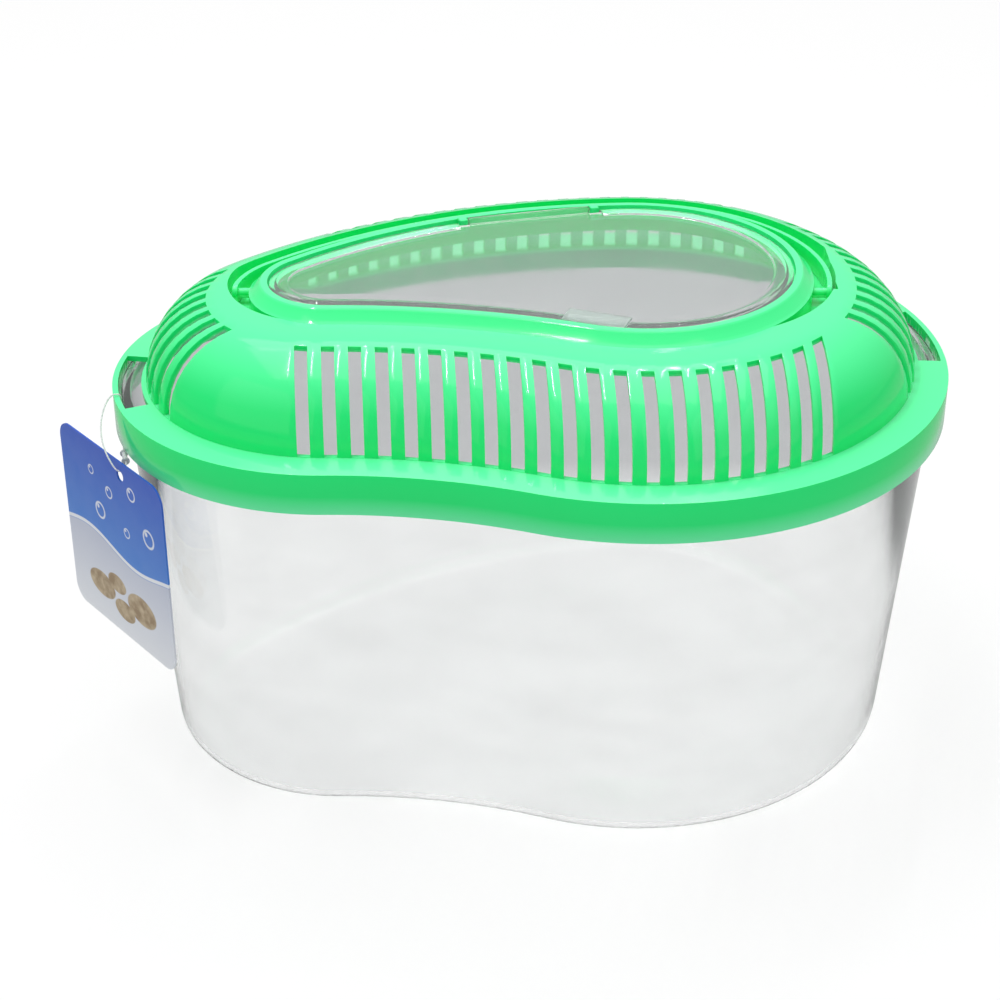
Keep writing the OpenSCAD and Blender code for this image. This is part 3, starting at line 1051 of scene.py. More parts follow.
    def build(self) -> Piece:
        """Models the lid.

        Returns:
            The lid's shell, with its well, gaps, holes and lugs.
        """
        foot = Foot(tuple(self.outline.arcs()), self.ledge_w)
        slots = self.slots()
        breaks: dict[int, list[float]] = {}
        for index, turn in self.columns(foot, slots, foot.inside):
            breaks.setdefault(index, []).append(turn)
        piece = Sweep(self.outline, self.column, breaks).make("lid_shell", self.section())
        self.straighten(piece, foot, slots)
        self.open_slots(piece, foot, slots)
        Bench.weld(piece)
        Bench.soften(piece, width=0.4)
        self.fit(piece)
        Bench.smooth(piece)
        return piece

    def fit(self, piece: Piece) -> None:
        """Works the well, latch gaps, peg holes and hinge into the lid.

        Args:
            piece: The lid's shell.
        """
        line, hinge = self.outline, self.hinge
        lap_z = self.crown_z - self.wall + self.trough_lap
        trough = self.well.solid("trough", self.wall, self.well_z - self.wall, lap_z)
        Bench.work(piece, trough, Boolean.JOIN)
        Bench.work(piece, self.well.solid("well", 0, self.well_z, self.collar_z + PAST), Boolean.CUT)
        lobe = line.lobe_turn()
        Bench.work(piece, self.latch_gap(line.left_c, line.left_r, lobe + 180), Boolean.CUT)
        Bench.work(piece, self.latch_gap(line.right_c, line.right_r, lobe), Boolean.CUT)
        for x0, x1 in self.holes:
            ends = (x0, self.pivot_y, self.pivot_z), (x1, self.pivot_y, self.pivot_z)
            Bench.work(piece, Bench.rod("hole", *ends, self.hole_d), Boolean.CUT)
        inner, low = self.collar_in + self.notch_w, self.crown_z - self.notch_drop
        ring = Sweep(line).band("notch", self.collar_in, inner, low, self.collar_z)
        half = hinge.barrel_l / 2 + hinge.gap
        corners = (-hinge.deep(), -half, CEILING_Z), (self.notch_reach, half, ROOF_Z)
        room = Bench.block("room", *corners, hinge.place)
        Bench.work(ring, room, Boolean.KEEP)
        Bench.work(piece, ring, Boolean.CUT)
        for side in (-1, 1):
            Bench.work(piece, hinge.lug(side), Boolean.JOIN)

    def dress(self, green: Finish) -> None:
        """Builds the lid and fits it to its body."""
        fit(self.build(), Body.LID, "green_plastic", green, "vented_lid")


@dataclass
class Hatch:
    """The clear hatch, with its raised bead, hinge barrel and finger grip."""

    outline: Outline
    hinge: Hinge
    edge_in: float = 51.4
    low: float = 160.8
    top: float = 162.4
    bead_in: float = 1.8
    bead_w: float = 4.6
    bead_h: float = 0.6
    core_in: float = 62.0
    trim_x: float = -0.2
    lift_x: float = -7.6
    trim_reach: float = 60.0
    trim_half: float = 90.0
    grip_turn: float = 69.5
    grip_w: float = 20.0
    grip_d: float = 8.4
    grip_h: float = 0.8
    grip_in: float = 0.6
    grip_sunk: float = 0.2
    panel_in: float = 0.9
    panel_deep: float = 0.25

    def build(self) -> Piece:
        """Models the hatch.

        Returns:
            The hatch, with its bead, barrel and pegs.
        """
        outer = self.edge_in + self.bead_in
        inner = outer + self.bead_w
        crest = self.top + self.bead_h
        section = [
            (self.core_in, self.low), (self.edge_in, self.low), (self.edge_in, self.top),
            (outer, self.top), (outer + self.bead_h, crest),
            (inner - self.bead_h, crest), (inner, self.top), (self.core_in, self.top),
        ]
        piece = Sweep(self.outline).make("hatch_pane", section, closed=False)
        Bench.cap(piece)
        Bench.weld(piece)
        Bench.soften(piece, width=0.3, limit=35)
        self.hang(piece)
        Bench.smooth(piece, angle=35)
        return piece

    def hang(self, piece: Piece) -> None:
        """Trims the hatch at its hinge and adds the barrel and pegs.

        Args:
            piece: The hatch.
        """
        hinge, place = self.hinge, self.hinge.place
        span = 2 * hinge.lug_y() + hinge.lug_w + 2 * hinge.gap
        trims = (
            ("trim", (self.trim_x, -self.trim_half, CEILING_Z), self.trim_half),
            ("lift", (self.lift_x, -span / 2, self.top), span / 2),
        )
        for name, corner, half in trims:
            trim = Bench.block(name, corner, (self.trim_reach, half, ROOF_Z), place)
            Bench.work(piece, trim, Boolean.CUT)
        for side in (-1, 1):
            Bench.work(piece, hinge.room(side, CEILING_Z, ROOF_Z), Boolean.CUT)
        half = hinge.barrel_l / 2
        ends = (0, -half, hinge.height), (0, half, hinge.height)
        barrel = Bench.rod("barrel", *ends, hinge.barrel_d, place)
        Bench.soften(barrel, width=0.25)
        Bench.work(piece, barrel, Boolean.JOIN)
        reach = half + hinge.lug_w
        ends = (0, -reach, hinge.height), (0, reach, hinge.height)
        pegs = Bench.rod("pegs", *ends, hinge.peg_d, place)
        Bench.work(piece, pegs, Boolean.JOIN)

    def grip(self) -> Piece:
        """Models the finger grip, a low pad with a sunk panel.

        Returns:
            The grip.
        """
        front = self.outline.arcs()[3]
        x, y = front.point(self.grip_turn, self.edge_in)
        place = Place(x, y, 0, self.grip_turn)
        half = self.grip_w / 2
        low = (self.grip_in, -half, self.top - self.grip_sunk)
        high = (self.grip_in + self.grip_d, half, self.top + self.grip_h)
        piece = Bench.block("hatch_grip", low, high, place)
        Bench.take(piece)
        bpy.ops.object.mode_set(mode="EDIT")
        bpy.ops.mesh.select_mode(type="FACE")
        bpy.ops.mesh.select_all(action="DESELECT")
        mesh = bmesh.from_edit_mesh(piece.data)
        for face in mesh.faces:
            face.select = face.normal.z > 0.9
        bmesh.update_edit_mesh(piece.data)
        bpy.ops.mesh.inset(thickness=self.panel_in * MM)
        bpy.ops.transform.translate(value=(0, 0, -self.panel_deep * MM))
        bpy.ops.object.mode_set(mode="OBJECT")
        Bench.soften(piece, width=0.2)
        Bench.smooth(piece, angle=35)
        return piece

    def dress(self, clear: Finish) -> None:
        """Builds the hatch and its grip and fits them to their body."""
        fit(let_light_through(self.build()), Body.HATCH, "hatch_plastic", clear, "hatch")
        fit(self.grip(), Body.HATCH, "hatch_plastic", FrostedPlastic("frosted_plastic").build())


@dataclass
class Handle:
    """The folding bail handle: a flat strap with a peg at each end."""

    outline: Outline
    strap_in: float = 40.0
    strap_t: float = 1.5
    strap_h: float = 6.0
    crown_z: float = 159.6
    pivot_y: float = -8.4
    peg_d: float = 3.2
    pegs: tuple[Point, Point] = ((-94.66, -87.46), (87.25, 94.42))

    def build(self) -> Piece:
        """Models the handle.

        Returns:
            The strap with its two pegs.
        """
        half = self.strap_t / 2
        low = self.crown_z - self.strap_h
        middle = self.crown_z - self.strap_h / 2
        faces = self.strap_in - half, self.strap_in + half
        piece = Sweep(self.outline).band("handle_strap", *faces, low, self.crown_z)
        corners = (-FAR, self.pivot_y, low - PAST), (FAR, FAR, self.crown_z + PAST)
        reach = Bench.block("reach", *corners)
        ends = (-FAR, self.pivot_y, middle), (FAR, self.pivot_y, middle)
        eyes = Bench.rod("eyes", *ends, self.strap_h, sides=64)
        Bench.work(reach, eyes, Boolean.JOIN)
        Bench.work(piece, reach, Boolean.KEEP)
        Bench.soften(piece, width=0.3, limit=50)
        for x0, x1 in self.pegs:
            peg = Bench.rod("peg", (x0, self.pivot_y, middle), (x1, self.pivot_y, middle), self.peg_d)
            Bench.soften(peg, width=0.3)
            Bench.work(piece, peg, Boolean.JOIN)
        Bench.smooth(piece)
        return piece

    def dress(self, green: Finish) -> None:
        """Builds the handle and fits it to its body."""
        fit(self.build(), Body.HANDLE, "handle_plastic", green, "handle")


@dataclass
class Card:
    """The printed card that hangs beside the left end."""

    outline: Outline
    width: float = 63.0
    height: float = 67.0
    thick: float = 0.6
    corner: float = 6.0
    top: float = 118.0
    turn: float = 219.0
    off: float = 2.6
    shift: float = 18.7
    hole_side: float = 6.7
    hole_drop: float = 5.0
    hole_d: float = 4.0

    def place(self) -> Place:
        """Works out where the card hangs, with X along the rim and Y outwards.

        Returns:
            The place, at the card's top edge.
        """
        line = self.outline
        x = line.left_c[0] + (line.left_r + self.off) * math.cos(self.turn * TURN)
        y = line.left_c[1] + (line.left_r + self.off) * math.sin(self.turn * TURN)
        return Place(x, y, self.top, self.turn - 90)

    def build(self) -> Piece:
        """Models the card.

        Returns:
            The card, hung in its place.
        """
        half = self.width / 2
        corners = (self.shift - half, 0, -self.height), (self.shift + half, self.thick, 0)
        piece = Bench.block("card", *corners)
        Bench.take(piece)
        bpy.ops.object.mode_set(mode="EDIT")
        bpy.ops.mesh.select_mode(type="EDGE")
        bpy.ops.mesh.select_all(action="DESELECT")
        mesh = bmesh.from_edit_mesh(piece.data)
        for edge in mesh.edges:
            run = edge.verts[0].co - edge.verts[1].co
            edge.select = abs(run.y) > 0.5 * run.length
        mesh.select_flush_mode()
        bmesh.update_edit_mesh(piece.data)
        bpy.ops.mesh.bevel(offset=self.corner * MM, segments=10, affect="EDGES")
        bpy.ops.object.mode_set(mode="OBJECT")
        x = self.shift - self.hole_side
        ends = (x, -PAST, -self.hole_drop), (x, self.thick + PAST, -self.hole_drop)
        hole = Bench.rod("hole", *ends, self.hole_d, sides=40)
        Bench.work(piece, hole, Boolean.CUT)
        self.lay_out(piece)
        Bench.put(piece, self.place())
        Bench.smooth(piece)
        return piece

    def lay_out(self, piece: Piece) -> None:
        """Lays the print flat on the card: 0 to 1 across and up, seen from outside.

        Args:
            piece: The card, before it is hung.
        """
        layer = piece.data.uv_layers.new(name="print")
        for loop in piece.data.loops:
            co = piece.data.vertices[loop.vertex_index].co / MM
            layer.data[loop.index].uv = (
                (self.shift + self.width / 2 - co.x) / self.width,
                (co.z + self.height) / self.height,
            )

    def dress(self) -> None:
        """Builds the card and fits it to its body."""
        fit(self.build(), Body.TAG, "tag_card", PrintedCard("printed_card").build(), "hang_tag")


@dataclass
class NylonLoop:
    """The thin loop through the freed band and the card, and its lock."""

    outline: Outline
    diameter: float = 0.5
    lock_d: float = 1.6
    flange: float = 0.5
    route: tuple = (
        (207.6, 71.9, 115.9), (208.8, 72.5, 115.5), (209.5, 73.3, 114.9), (209.8, 74.2, 114.5),
        (209.9, 75.2, 114.7), (209.6, 76.2, 115.6), (208.6, 77.0, 117.4), (206.5, 77.6, 120.0),
        (203.6, 77.5, 123.2), (200.6, 76.4, 126.6), (198.2, 74.6, 129.6), (196.8, 72.8, 131.6),
        (196.2, 71.3, 132.4), (196.0, 70.1, 132.4), (196.0, 69.1, 132.0), (196.0, 68.8, 130.8),
        (196.0, 68.8, 127.0), (196.2, 68.8, 122.0), (196.6, 68.8, 119.2), (197.6, 69.2, 117.3),
        (199.4, 69.9, 116.4), (203.2, 70.8, 116.1),
    )

    def points(self) -> list[Vector]:
        """Works out the route's points, as in the part's source.

        Returns:
            The points, in metres.
        """
        cx, cy = self.outline.left_c
        return [
            Vector((cx + r * math.cos(t * TURN), cy + r * math.sin(t * TURN), z)) * MM
            for t, r, z in self.route
        ]

    def build(self) -> Piece:
        """Draws the loop as a round curve along its route.

        Returns:
            The loop.
        """
        points = self.points()
        data = bpy.data.curves.new("nylon_loop", "CURVE")
        data.dimensions = "3D"
        data.bevel_depth = self.diameter / 2 * MM
        data.bevel_resolution = 3
        data.use_fill_caps = True
        line = data.splines.new("POLY")
        fine = self.refine(points)
        line.points.add(len(fine) - 1)
        for spot, p in zip(line.points, fine):
            spot.co = (*p, 1)
        piece = bpy.data.objects.new("nylon_loop", data)
        bpy.context.scene.collection.objects.link(piece)
        return piece

    def refine(self, points: list[Vector], parts: int = 3) -> list[Vector]:
        """Puts smooth points between the route's own.

        Args:
            points: The route's points.
            parts: Number of parts that each run is cut into.

        Returns:
            The finer route.
        """
        fine = []
        last = len(points) - 1
        for i in range(last):
            a, b = points[max(i - 1, 0)], points[i]
            c, d = points[i + 1], points[min(i + 2, last)]
            for k in range(parts):
                t = k / parts
                square, cube = 2 * a - 5 * b + 4 * c - d, 3 * b - a - 3 * c + d
                fine.append(0.5 * (2 * b + (c - a) * t + square * t**2 + cube * t**3))
        return [*fine, points[-1]]

    def length(self) -> float:
        """Returns the loop's length in metres."""
        fine = self.refine(self.points())
        return sum((b - a).length for a, b in zip(fine, fine[1:]))

    def lock(self) -> Piece:
        """Models the small barrel that the loop's two ends snap into.

        Returns:
            The lock.
        """
        points = [p / MM for p in self.points()]
        start, end = points[-1], points[0]
        run = (end - start).normalized()
        piece = Bench.rod("lock_barrel", tuple(start), tuple(end), self.lock_d, sides=24)
        for a, b in ((start, start + run * self.flange), (end - run * self.flange, end)):
            ring = Bench.rod("flange", tuple(a), tuple(b), self.lock_d + 2 * self.flange, sides=24)
            Bench.soften(ring, width=0.12)
            Bench.work(piece, ring, Boolean.JOIN)
        Bench.smooth(piece, angle=35)
        return piece

    def dress(self, thread: Finish) -> None:
        """Builds the loop and its lock and fits them to their body.

        Args:
            thread: The material of both.
        """
        cord = self.build()
        fit(cord, Body.LID, "nylon", thread, "tag_loop")
        lock = self.lock()
        fit(lock, Body.LID, "nylon", thread, "loop_lock")
        log.info("the loop is %.4f m long", self.length())


class Recipe:
    """A material's nodes, laid out one by one round a Principled shader."""

    def __init__(self, name: str) -> None:
        """Starts an empty material with its shader and output.

        Args:
            name: Name of the material.
        """
        self.material = bpy.data.materials.new(name)
        self.material.use_nodes = True
        self.tree = self.material.node_tree
        self.tree.nodes.clear()
        self.shader = self.add("ShaderNodeBsdfPrincipled")
        self.output = self.add("ShaderNodeOutputMaterial")
        self.join(self.shader.outputs[0], self.output.inputs["Surface"])

    def add(self, kind: str, **values: object) -> bpy.types.Node:
        """Adds a node and sets its inputs or properties.

        Args:
            kind: The node's type.
            values: The values, by name.

        Returns:
            The node.
        """
        node = self.tree.nodes.new(kind)
        for key, value in values.items():
            socket = node.inputs.get(key.replace("_", " "))
            if socket is not None and not hasattr(node, key):
                socket.default_value = value
            else:
                setattr(node, key, value)
        return node

    def join(self, start: Socket, end: Socket) -> None:
        """Links one socket to another."""
        self.tree.links.new(start, end)

    def set(self, **values: object) -> None:
        """Sets the shader's own sockets."""
        for key, value in values.items():
            self.shader.inputs[key.replace("_", " ")].default_value = value

    def paint(self, colour: Socket, rough: Socket) -> None:
        """Joins a colour and a roughness to the shader."""
        self.join(colour, self.shader.inputs["Base Color"])
        self.join(rough, self.shader.inputs["Roughness"])

    def here(self) -> Socket:
        """Returns the piece's own object coordinates."""
        return self.add("ShaderNodeTexCoord").outputs["Object"]

    def grain(self, scale: float, detail: float = 2.0, at: Socket | None = None) -> Socket:
        """Adds a noise on object coordinates.

        Args:
            scale: How fine it is.
            detail: How many finer layers it has.
            at: Coordinates to use in place of the piece's own.

        Returns:
            The noise's value.
        """
        noise = self.add("ShaderNodeTexNoise", Scale=scale, Detail=detail)
        self.join(at or self.here(), noise.inputs["Vector"])
        return noise.outputs["Fac"]

    def span(self, value: Socket, low: float, high: float, start: float = 0.3, end: float = 0.7) -> Socket:
        """Spreads a value from low to high as its source goes from start to end.

        Args:
            value: The source.
            low: The result at the start.
            high: The result at the end.
            start: Where the source starts.
            end: Where it ends.

        Returns:
            The result.
        """
        node = self.add("ShaderNodeMapRange")
        self.join(value, node.inputs["Value"])
        for key, number in (("From Min", start), ("From Max", end), ("To Min", low), ("To Max", high)):
            node.inputs[key].default_value = number
        return node.outputs["Result"]

    def sum(self, how: str, a: object, b: object = 0.0) -> Socket:
        """Works a sum on two values or sockets.

        Args:
            how: The kind of sum.
            a: The first.
            b: The second.

        Returns:
            The result.
        """
        node = self.add("ShaderNodeMath", operation=how)
        for index, item in enumerate((a, b)):
            if isinstance(item, (int, float)):
                node.inputs[index].default_value = item
            else:
                self.join(item, node.inputs[index])
        return node.outputs[0]

    def blend(self, share: Socket, first: object, second: object) -> Socket:
        """Mixes two colours, each a tuple or a socket.

        Args:
            share: The second one's share.
            first: The first.
            second: The second.

        Returns:
            The mixed colour.
        """
        node = self.add("ShaderNodeMix", data_type="RGBA")
        self.join(share, node.inputs["Factor"])
        for socket, item in ((node.inputs[6], first), (node.inputs[7], second)):
            if isinstance(item, tuple):
                socket.default_value = (*item, 1)
            else:
                self.join(item, socket)
        return node.outputs[2]

    def emboss(self, height: Socket, distance: float, strength: float = 1.0) -> None:
        """Raises the surface by a height, through the shader's normal.

        Args:
            height: The height, from 0 to 1.
            distance: The height in metres that 1 stands for.
            strength: The relief's strength.
        """
        bump = self.add("ShaderNodeBump", Distance=distance, Strength=strength)
        self.join(height, bump.inputs["Height"])
        self.join(bump.outputs["Normal"], self.shader.inputs["Normal"])


@dataclass(frozen=True)
class MouldedPlastic:
    """Opaque moulded plastic with a satin gloss and faint flow marks."""

    name: str
    light: Colour = (0.012, 0.86, 0.21)
    dark: Colour = (0.008, 0.81, 0.18)
    # pale green painted on upward faces as a top highlight
    painted_top_sheen: Colour = (0.11, 0.92, 0.38)
    # paler green painted on downward faces, as light shining through the plastic
    inner: Colour = (0.2, 0.97, 0.5)
    rough: tuple[float, float] = (0.07, 0.12)
    relief: float = 0.00002

    def build(self) -> Finish:
        """Mixes the plastic, with a painted pale sheen on upward faces and painted light through the
        plastic on downward faces.

        Returns:
            The material.
        """
        mix = Recipe(self.name)
        upward = mix.add("ShaderNodeSeparateXYZ")
        mix.join(mix.add("ShaderNodeTexCoord").outputs["Normal"], upward.inputs[0])
        # painted highlight: faces turned upwards are mixed towards a paler green, standing in for top
        # light and gloss
        top_sheen_mask = mix.span(upward.outputs["Z"], 0, 1, 0.45, 1.0)
        body = mix.blend(mix.span(mix.grain(9, 3), 0, 1), self.dark, self.light)
        # painted light: faces turned downwards, such as the dome's inside, are mixed towards a paler green
        # as if lit through the plastic
        under = mix.span(upward.outputs["Z"], 1, 0, -0.25, -0.02)
        body = mix.blend(under, body, self.inner)
        mix.paint(mix.blend(top_sheen_mask, body, self.painted_top_sheen), mix.span(mix.grain(60, 4), *self.rough))
        fine, flow = mix.grain(1400, 3), mix.grain(45, 2)
        mix.emboss(mix.sum("ADD", fine, mix.sum("MULTIPLY", flow, 6.0)), self.relief, 0.6)
        mix.set(IOR=1.49, Specular_IOR_Level=0.45)
        return mix.material


@dataclass(frozen=True)
class ClearPlastic:
    """Clear polystyrene with a slight haze, flow waves and scuffs."""

    name: str
    tint: Colour = (0.995, 0.998, 0.998)
    smear: float = 0.96
    lie: tuple[float, float, float] = (24.0, 24.0, 60.0)
    rough: tuple[float, float] = (0.02, 0.08)
    wave: float = 0.0002
    haze: float = 0.04
    slant: float = 0.3

    def build(self) -> Finish:
        """Mixes the clear plastic.

        Returns:
            The material.
        """
        mix = Recipe(self.name)
        stretch = mix.add("ShaderNodeMapping")
        stretch.inputs["Scale"].default_value = self.lie
        stretch.inputs["Rotation"].default_value = (0.0, self.slant, 0.0)
        mix.join(mix.here(), stretch.inputs["Vector"])
        cloud = mix.span(mix.grain(1.0, 5, stretch.outputs[0]), 0, 1, 0.36, 0.64)
        deep = tuple(self.smear * c for c in self.tint)
        mix.paint(mix.blend(cloud, self.tint, deep), mix.span(mix.grain(28, 5), *self.rough))
        mix.emboss(mix.grain(22, 1), self.wave, 0.35)
        mix.set(IOR=1.4, Transmission_Weight=1 - self.haze)
        return mix.material


@dataclass(frozen=True)
class FrostedPlastic:
    """Clear plastic with a matt moulded surface."""

    name: str
    tint: Colour = (0.76, 0.88, 0.83)
    pale: Colour = (0.85, 0.94, 0.9)
    relief: float = 0.00005

    def build(self) -> Finish:
        """Mixes the frosted plastic.

        Returns:
            The material.
        """
        mix = Recipe(self.name)
        colour = mix.blend(mix.grain(300, 3), self.tint, self.pale)
        mix.paint(colour, mix.span(mix.grain(500, 3), 0.35, 0.55))
        mix.emboss(mix.grain(2600, 2), self.relief, 0.5)
        mix.set(IOR=1.45, Transmission_Weight=0.75)
        return mix.material


@dataclass(frozen=True)
class Nylon:
    """Fine white nylon thread and its lock."""

    name: str
    tint: Colour = (0.8, 0.82, 0.82)
    pale: Colour = (0.93, 0.94, 0.94)
    relief: float = 0.00002

    def build(self) -> Finish:
        """Mixes the nylon.

        Returns:
            The material.
        """
        mix = Recipe(self.name)
        colour = mix.blend(mix.grain(700, 2), self.tint, self.pale)
        mix.paint(colour, mix.span(mix.grain(900, 2), 0.2, 0.35))
        mix.emboss(mix.grain(3000, 2), self.relief, 0.4)
        mix.set(IOR=1.52, Transmission_Weight=0.25)
        return mix.material


@dataclass(frozen=True)
class PrintedCard:
    """Coated card: a blue sky over pale sand, with bubbles and pebbles."""

    name: str
    blue: Colour = (0.01, 0.085, 0.54)
    glow: Colour = (0.05, 0.22, 0.68)
    pale: Colour = (0.56, 0.6, 0.72)
    white: Colour = (0.82, 0.85, 0.9)
    stone: Colour = (0.3, 0.2, 0.1)
    sand: Colour = (0.56, 0.45, 0.29)
    line: float = 0.46
    swell_turns: float = 7.0
    swell_h: float = 0.035
    stripe_at: float = 0.012
    relief: float = 0.00002
    bubbles: tuple = (
        (0.36, 0.64, 0.05), (0.47, 0.78, 0.035), (0.3, 0.84, 0.028),
        (0.62, 0.62, 0.03), (0.7, 0.86, 0.04), (0.84, 0.68, 0.055),
    )
    pebbles: tuple = (
        (0.3, 0.2, 0.13, 0.07), (0.52, 0.14, 0.1, 0.055),
        (0.7, 0.22, 0.14, 0.08), (0.46, 0.27, 0.09, 0.05),
    )

    @staticmethod
    def spot(mix: Recipe, at: tuple[Socket, Socket], middle: Point, radii: Point) -> Socket:
        """Measures how far a point is from an oval's middle.

        Args:
            mix: The card's recipe.
            at: The point, across and up the print.
            middle: The oval's middle.
            radii: Its two radii.

        Returns:
            The distance, which is 1 at the oval's edge.
        """
        dx = mix.sum("DIVIDE", mix.sum("SUBTRACT", at[0], middle[0]), radii[0])
        dy = mix.sum("DIVIDE", mix.sum("SUBTRACT", at[1], middle[1]), radii[1])
        return mix.sum("SQRT", mix.sum("ADD", mix.sum("MULTIPLY", dx, dx), mix.sum("MULTIPLY", dy, dy)))

    def build(self) -> Finish:
        """Prints the card.

        Returns:
            The material.
        """
        mix = Recipe(self.name)
        uv = mix.add("ShaderNodeUVMap", uv_map="print").outputs["UV"]
        parts = mix.add("ShaderNodeSeparateXYZ")
        mix.join(uv, parts.inputs[0])
        u, v = parts.outputs["X"], parts.outputs["Y"]
        sky = mix.blend(mix.span(v, 0, 1, self.line, 1.0), self.glow, self.blue)
        ground = mix.blend(mix.span(v, 0, 1, 0.0, self.line), self.white, self.pale)
        wave = mix.sum("SINE", mix.sum("MULTIPLY", u, self.swell_turns))
        swell = mix.sum("MULTIPLY", wave, self.swell_h)
        height = mix.sum("SUBTRACT", v, mix.sum("ADD", swell, self.line))
        colour = mix.blend(mix.span(height, 0, 1, -0.004, 0.004), ground, sky)
        stripe = mix.sum("ABSOLUTE", mix.sum("SUBTRACT", height, self.stripe_at))
        colour = mix.blend(mix.span(stripe, 1, 0, 0.008, 0.012), colour, self.white)
        for x, y, r in self.bubbles:
            away = self.spot(mix, (u, v), (x, y), (r, r * 0.94))
            edge = mix.sum("ABSOLUTE", mix.sum("SUBTRACT", away, 0.86))
            colour = mix.blend(mix.span(edge, 0.85, 0, 0.08, 0.16), colour, self.white)
            glint, small = (x - 0.35 * r, y + 0.35 * r), 0.22 * r
            shine = self.spot(mix, (u, v), glint, (small, small))
            colour = mix.blend(mix.span(shine, 0.9, 0, 0.8, 1.2), colour, self.white)
        mottle = mix.span(mix.grain(260, 4), 0, 1, 0.35, 0.65)
        for x, y, rx, ry in self.pebbles:
            away = self.spot(mix, (u, v), (x, y), (rx, ry))
            stone = mix.blend(mottle, self.stone, self.sand)
            colour = mix.blend(mix.span(away, 1, 0, 0.97, 1.03), colour, stone)
        mix.paint(colour, mix.span(mix.grain(120, 3), 0.28, 0.4))
        mix.emboss(mix.grain(1800, 3), self.relief, 0.4)
        mix.set(IOR=1.5)
        return mix.material


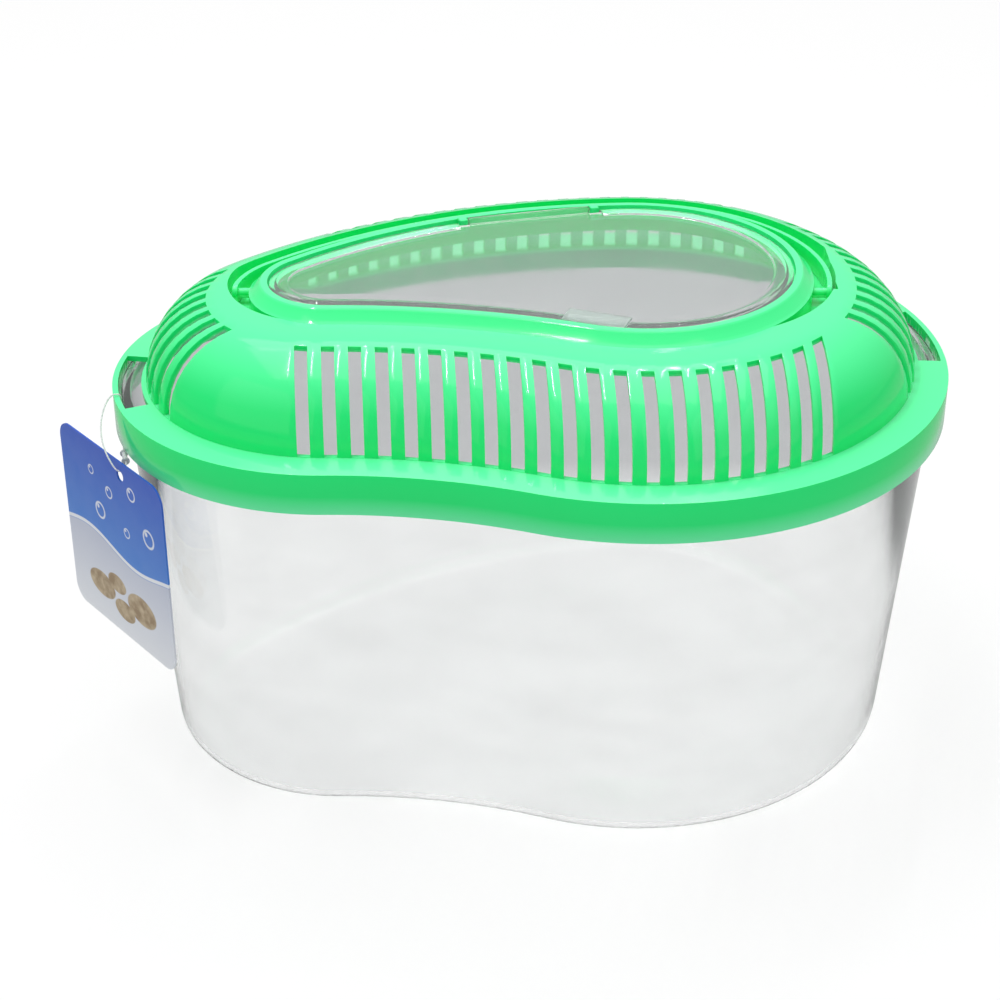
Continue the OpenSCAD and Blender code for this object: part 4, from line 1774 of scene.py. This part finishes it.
@dataclass
class Studio:
    """The camera, lamps, floor and world round the keeper."""

    camera_at: tuple[float, float, float] = (-10.6, -631.0, 432.2)
    elevation: float = 29.45
    lens: float = 76.46
    sensor: float = 36.0
    aim: tuple[float, float, float] = (0.0, 0.0, 0.1)
    ambient: float = 0.58
    sheen: float = 0.5
    bounce: float = 0.52
    beyond: Colour = (0.51, 0.515, 0.53)
    near: Colour = (0.96, 0.965, 0.965)
    floor_size: float = 8.0
    floor_z: float = -0.0004
    seam: Point = (0.12, 0.17)
    lens_glow: float = 0.75
    through_glow: float = 0.95
    lamps: tuple = (
        ("overhead", (0.0, 0.1, 1.6), (1.6, 1.2), 7.6),
        ("behind", (-0.2, 1.25, 2.1), (1.6, 0.6), 5.0),
        ("front_left", (-1.3, -1.3, 1.0), (2.0, 1.8), 5.4),
        ("front_right", (1.3, -1.3, 1.0), (2.0, 1.8), 5.7),
        ("strip_left", (-0.37, 0.08, 1.4), (0.85, 0.02), 4.6),
        ("strip_right", (0.2, 0.62, 1.4), (0.02, 0.35), 1.6),
    )

    def camera(self) -> None:
        """Places the camera at the photograph's viewing angle."""
        data = bpy.data.cameras.new("camera")
        data.lens, data.sensor_width, data.clip_start = self.lens, self.sensor, 0.01
        camera = bpy.data.objects.new("camera", data)
        camera.location = Vector(self.camera_at) * MM
        camera.rotation_euler = ((90 - self.elevation) * TURN, 0, 0)
        bpy.context.scene.collection.objects.link(camera)
        bpy.context.scene.camera = camera

    def lamp(self, name: str, at: tuple, size: tuple[float, float], watts: float) -> None:
        """Hangs a soft rectangular lamp that faces the keeper.

        Args:
            name: Name of the lamp.
            at: Its place in metres.
            size: Its two sides in metres.
            watts: Its power.
        """
        data = bpy.data.lights.new(name, "AREA")
        data.shape, data.size, data.size_y, data.energy = "RECTANGLE", *size, watts
        lamp = bpy.data.objects.new(name, data)
        lamp.location = at
        lamp.rotation_euler = (Vector(self.aim) - Vector(at)).to_track_quat("-Z", "Y").to_euler()
        bpy.context.scene.collection.objects.link(lamp)

    def floor(self) -> None:
        """Lays the floor: white with a soft shadow to the lens, grey through plastic."""
        Bench.clear()
        bpy.ops.mesh.primitive_plane_add(size=self.floor_size, location=(0, 0, self.floor_z))
        floor = bpy.context.active_object
        floor.name = "floor"
        mix = Recipe("white_floor")
        path = mix.add("ShaderNodeLightPath")
        lens, through = path.outputs["Is Camera Ray"], path.outputs["Is Transmission Ray"]
        mix.set(Roughness=0.9, Specular_IOR_Level=0.0)
        mix.join(mix.blend(lens, (self.bounce,) * 3, (0.9,) * 3), mix.shader.inputs["Base Color"])
        glow = mix.add("ShaderNodeEmission", Strength=1.0)
        place = mix.add("ShaderNodeSeparateXYZ")
        mix.join(mix.here(), place.inputs[0])
        back = mix.span(place.outputs["Y"], 0, 1, *self.seam)
        seen = mix.blend(back, self.near, self.beyond)
        mix.join(mix.blend(through, (1.0,) * 3, seen), glow.inputs["Color"])
        both = mix.add("ShaderNodeMixShader")
        direct = mix.sum("MULTIPLY", lens, self.lens_glow)
        share = mix.sum("ADD", direct, mix.sum("MULTIPLY", through, self.through_glow))
        mix.join(share, both.inputs[0])
        mix.join(mix.shader.outputs[0], both.inputs[1])
        mix.join(glow.outputs[0], both.inputs[2])
        mix.join(both.outputs[0], mix.output.inputs["Surface"])
        floor.data.materials.append(mix.material)

    def world(self) -> None:
        """Fills the world with soft grey light that the lens sees as white."""
        world = bpy.data.worlds.new("studio")
        bpy.context.scene.world = world
        world.use_nodes = True
        tree = world.node_tree
        tree.nodes.clear()
        output = tree.nodes.new("ShaderNodeOutputWorld")
        ground = tree.nodes.new("ShaderNodeBackground")
        path = tree.nodes.new("ShaderNodeLightPath")
        rays = {
            "Is Camera Ray": (1.0,) * 3,
            "Is Glossy Ray": (self.sheen,) * 3,
            "Is Transmission Ray": self.beyond,
        }
        colour: Socket | None = None
        for ray, there in rays.items():
            step = tree.nodes.new("ShaderNodeMix")
            step.data_type = "RGBA"
            step.inputs[6].default_value = (*(self.ambient,) * 3, 1)
            step.inputs[7].default_value = (*there, 1)
            if colour is not None:
                tree.links.new(colour, step.inputs[6])
            tree.links.new(path.outputs[ray], step.inputs["Factor"])
            colour = step.outputs[2]
        tree.links.new(colour, ground.inputs["Color"])
        tree.links.new(ground.outputs[0], output.inputs["Surface"])

    def build(self) -> None:
        """Sets up the whole studio."""
        self.world()
        self.floor()
        for name, at, size, watts in self.lamps:
            self.lamp(name, at, size, watts)
        bpy.context.scene.view_settings.view_transform = "Standard"


def main() -> None:
    """Builds the studio and every piece of the keeper."""
    outline, hinge = Outline(), Hinge()
    studio = Studio()
    studio.camera()
    NylonLoop(outline).dress(Nylon("nylon").build())
    green = MouldedPlastic("green_plastic").build()
    clear = ClearPlastic("clear_plastic").build()
    pane = ClearPlastic("hatch_plastic", tint=(0.98, 1.0, 0.99), haze=0.045).build()
    Tank(outline).dress(clear)
    VentedLid(outline, hinge, Well(outline)).dress(green)
    Hatch(outline, hinge).dress(pane)
    Handle(outline).dress(MouldedPlastic("handle_plastic", rough=(0.24, 0.34)).build())
    Card(outline).dress()
    studio.build()


if __name__ == "__main__":
    main()
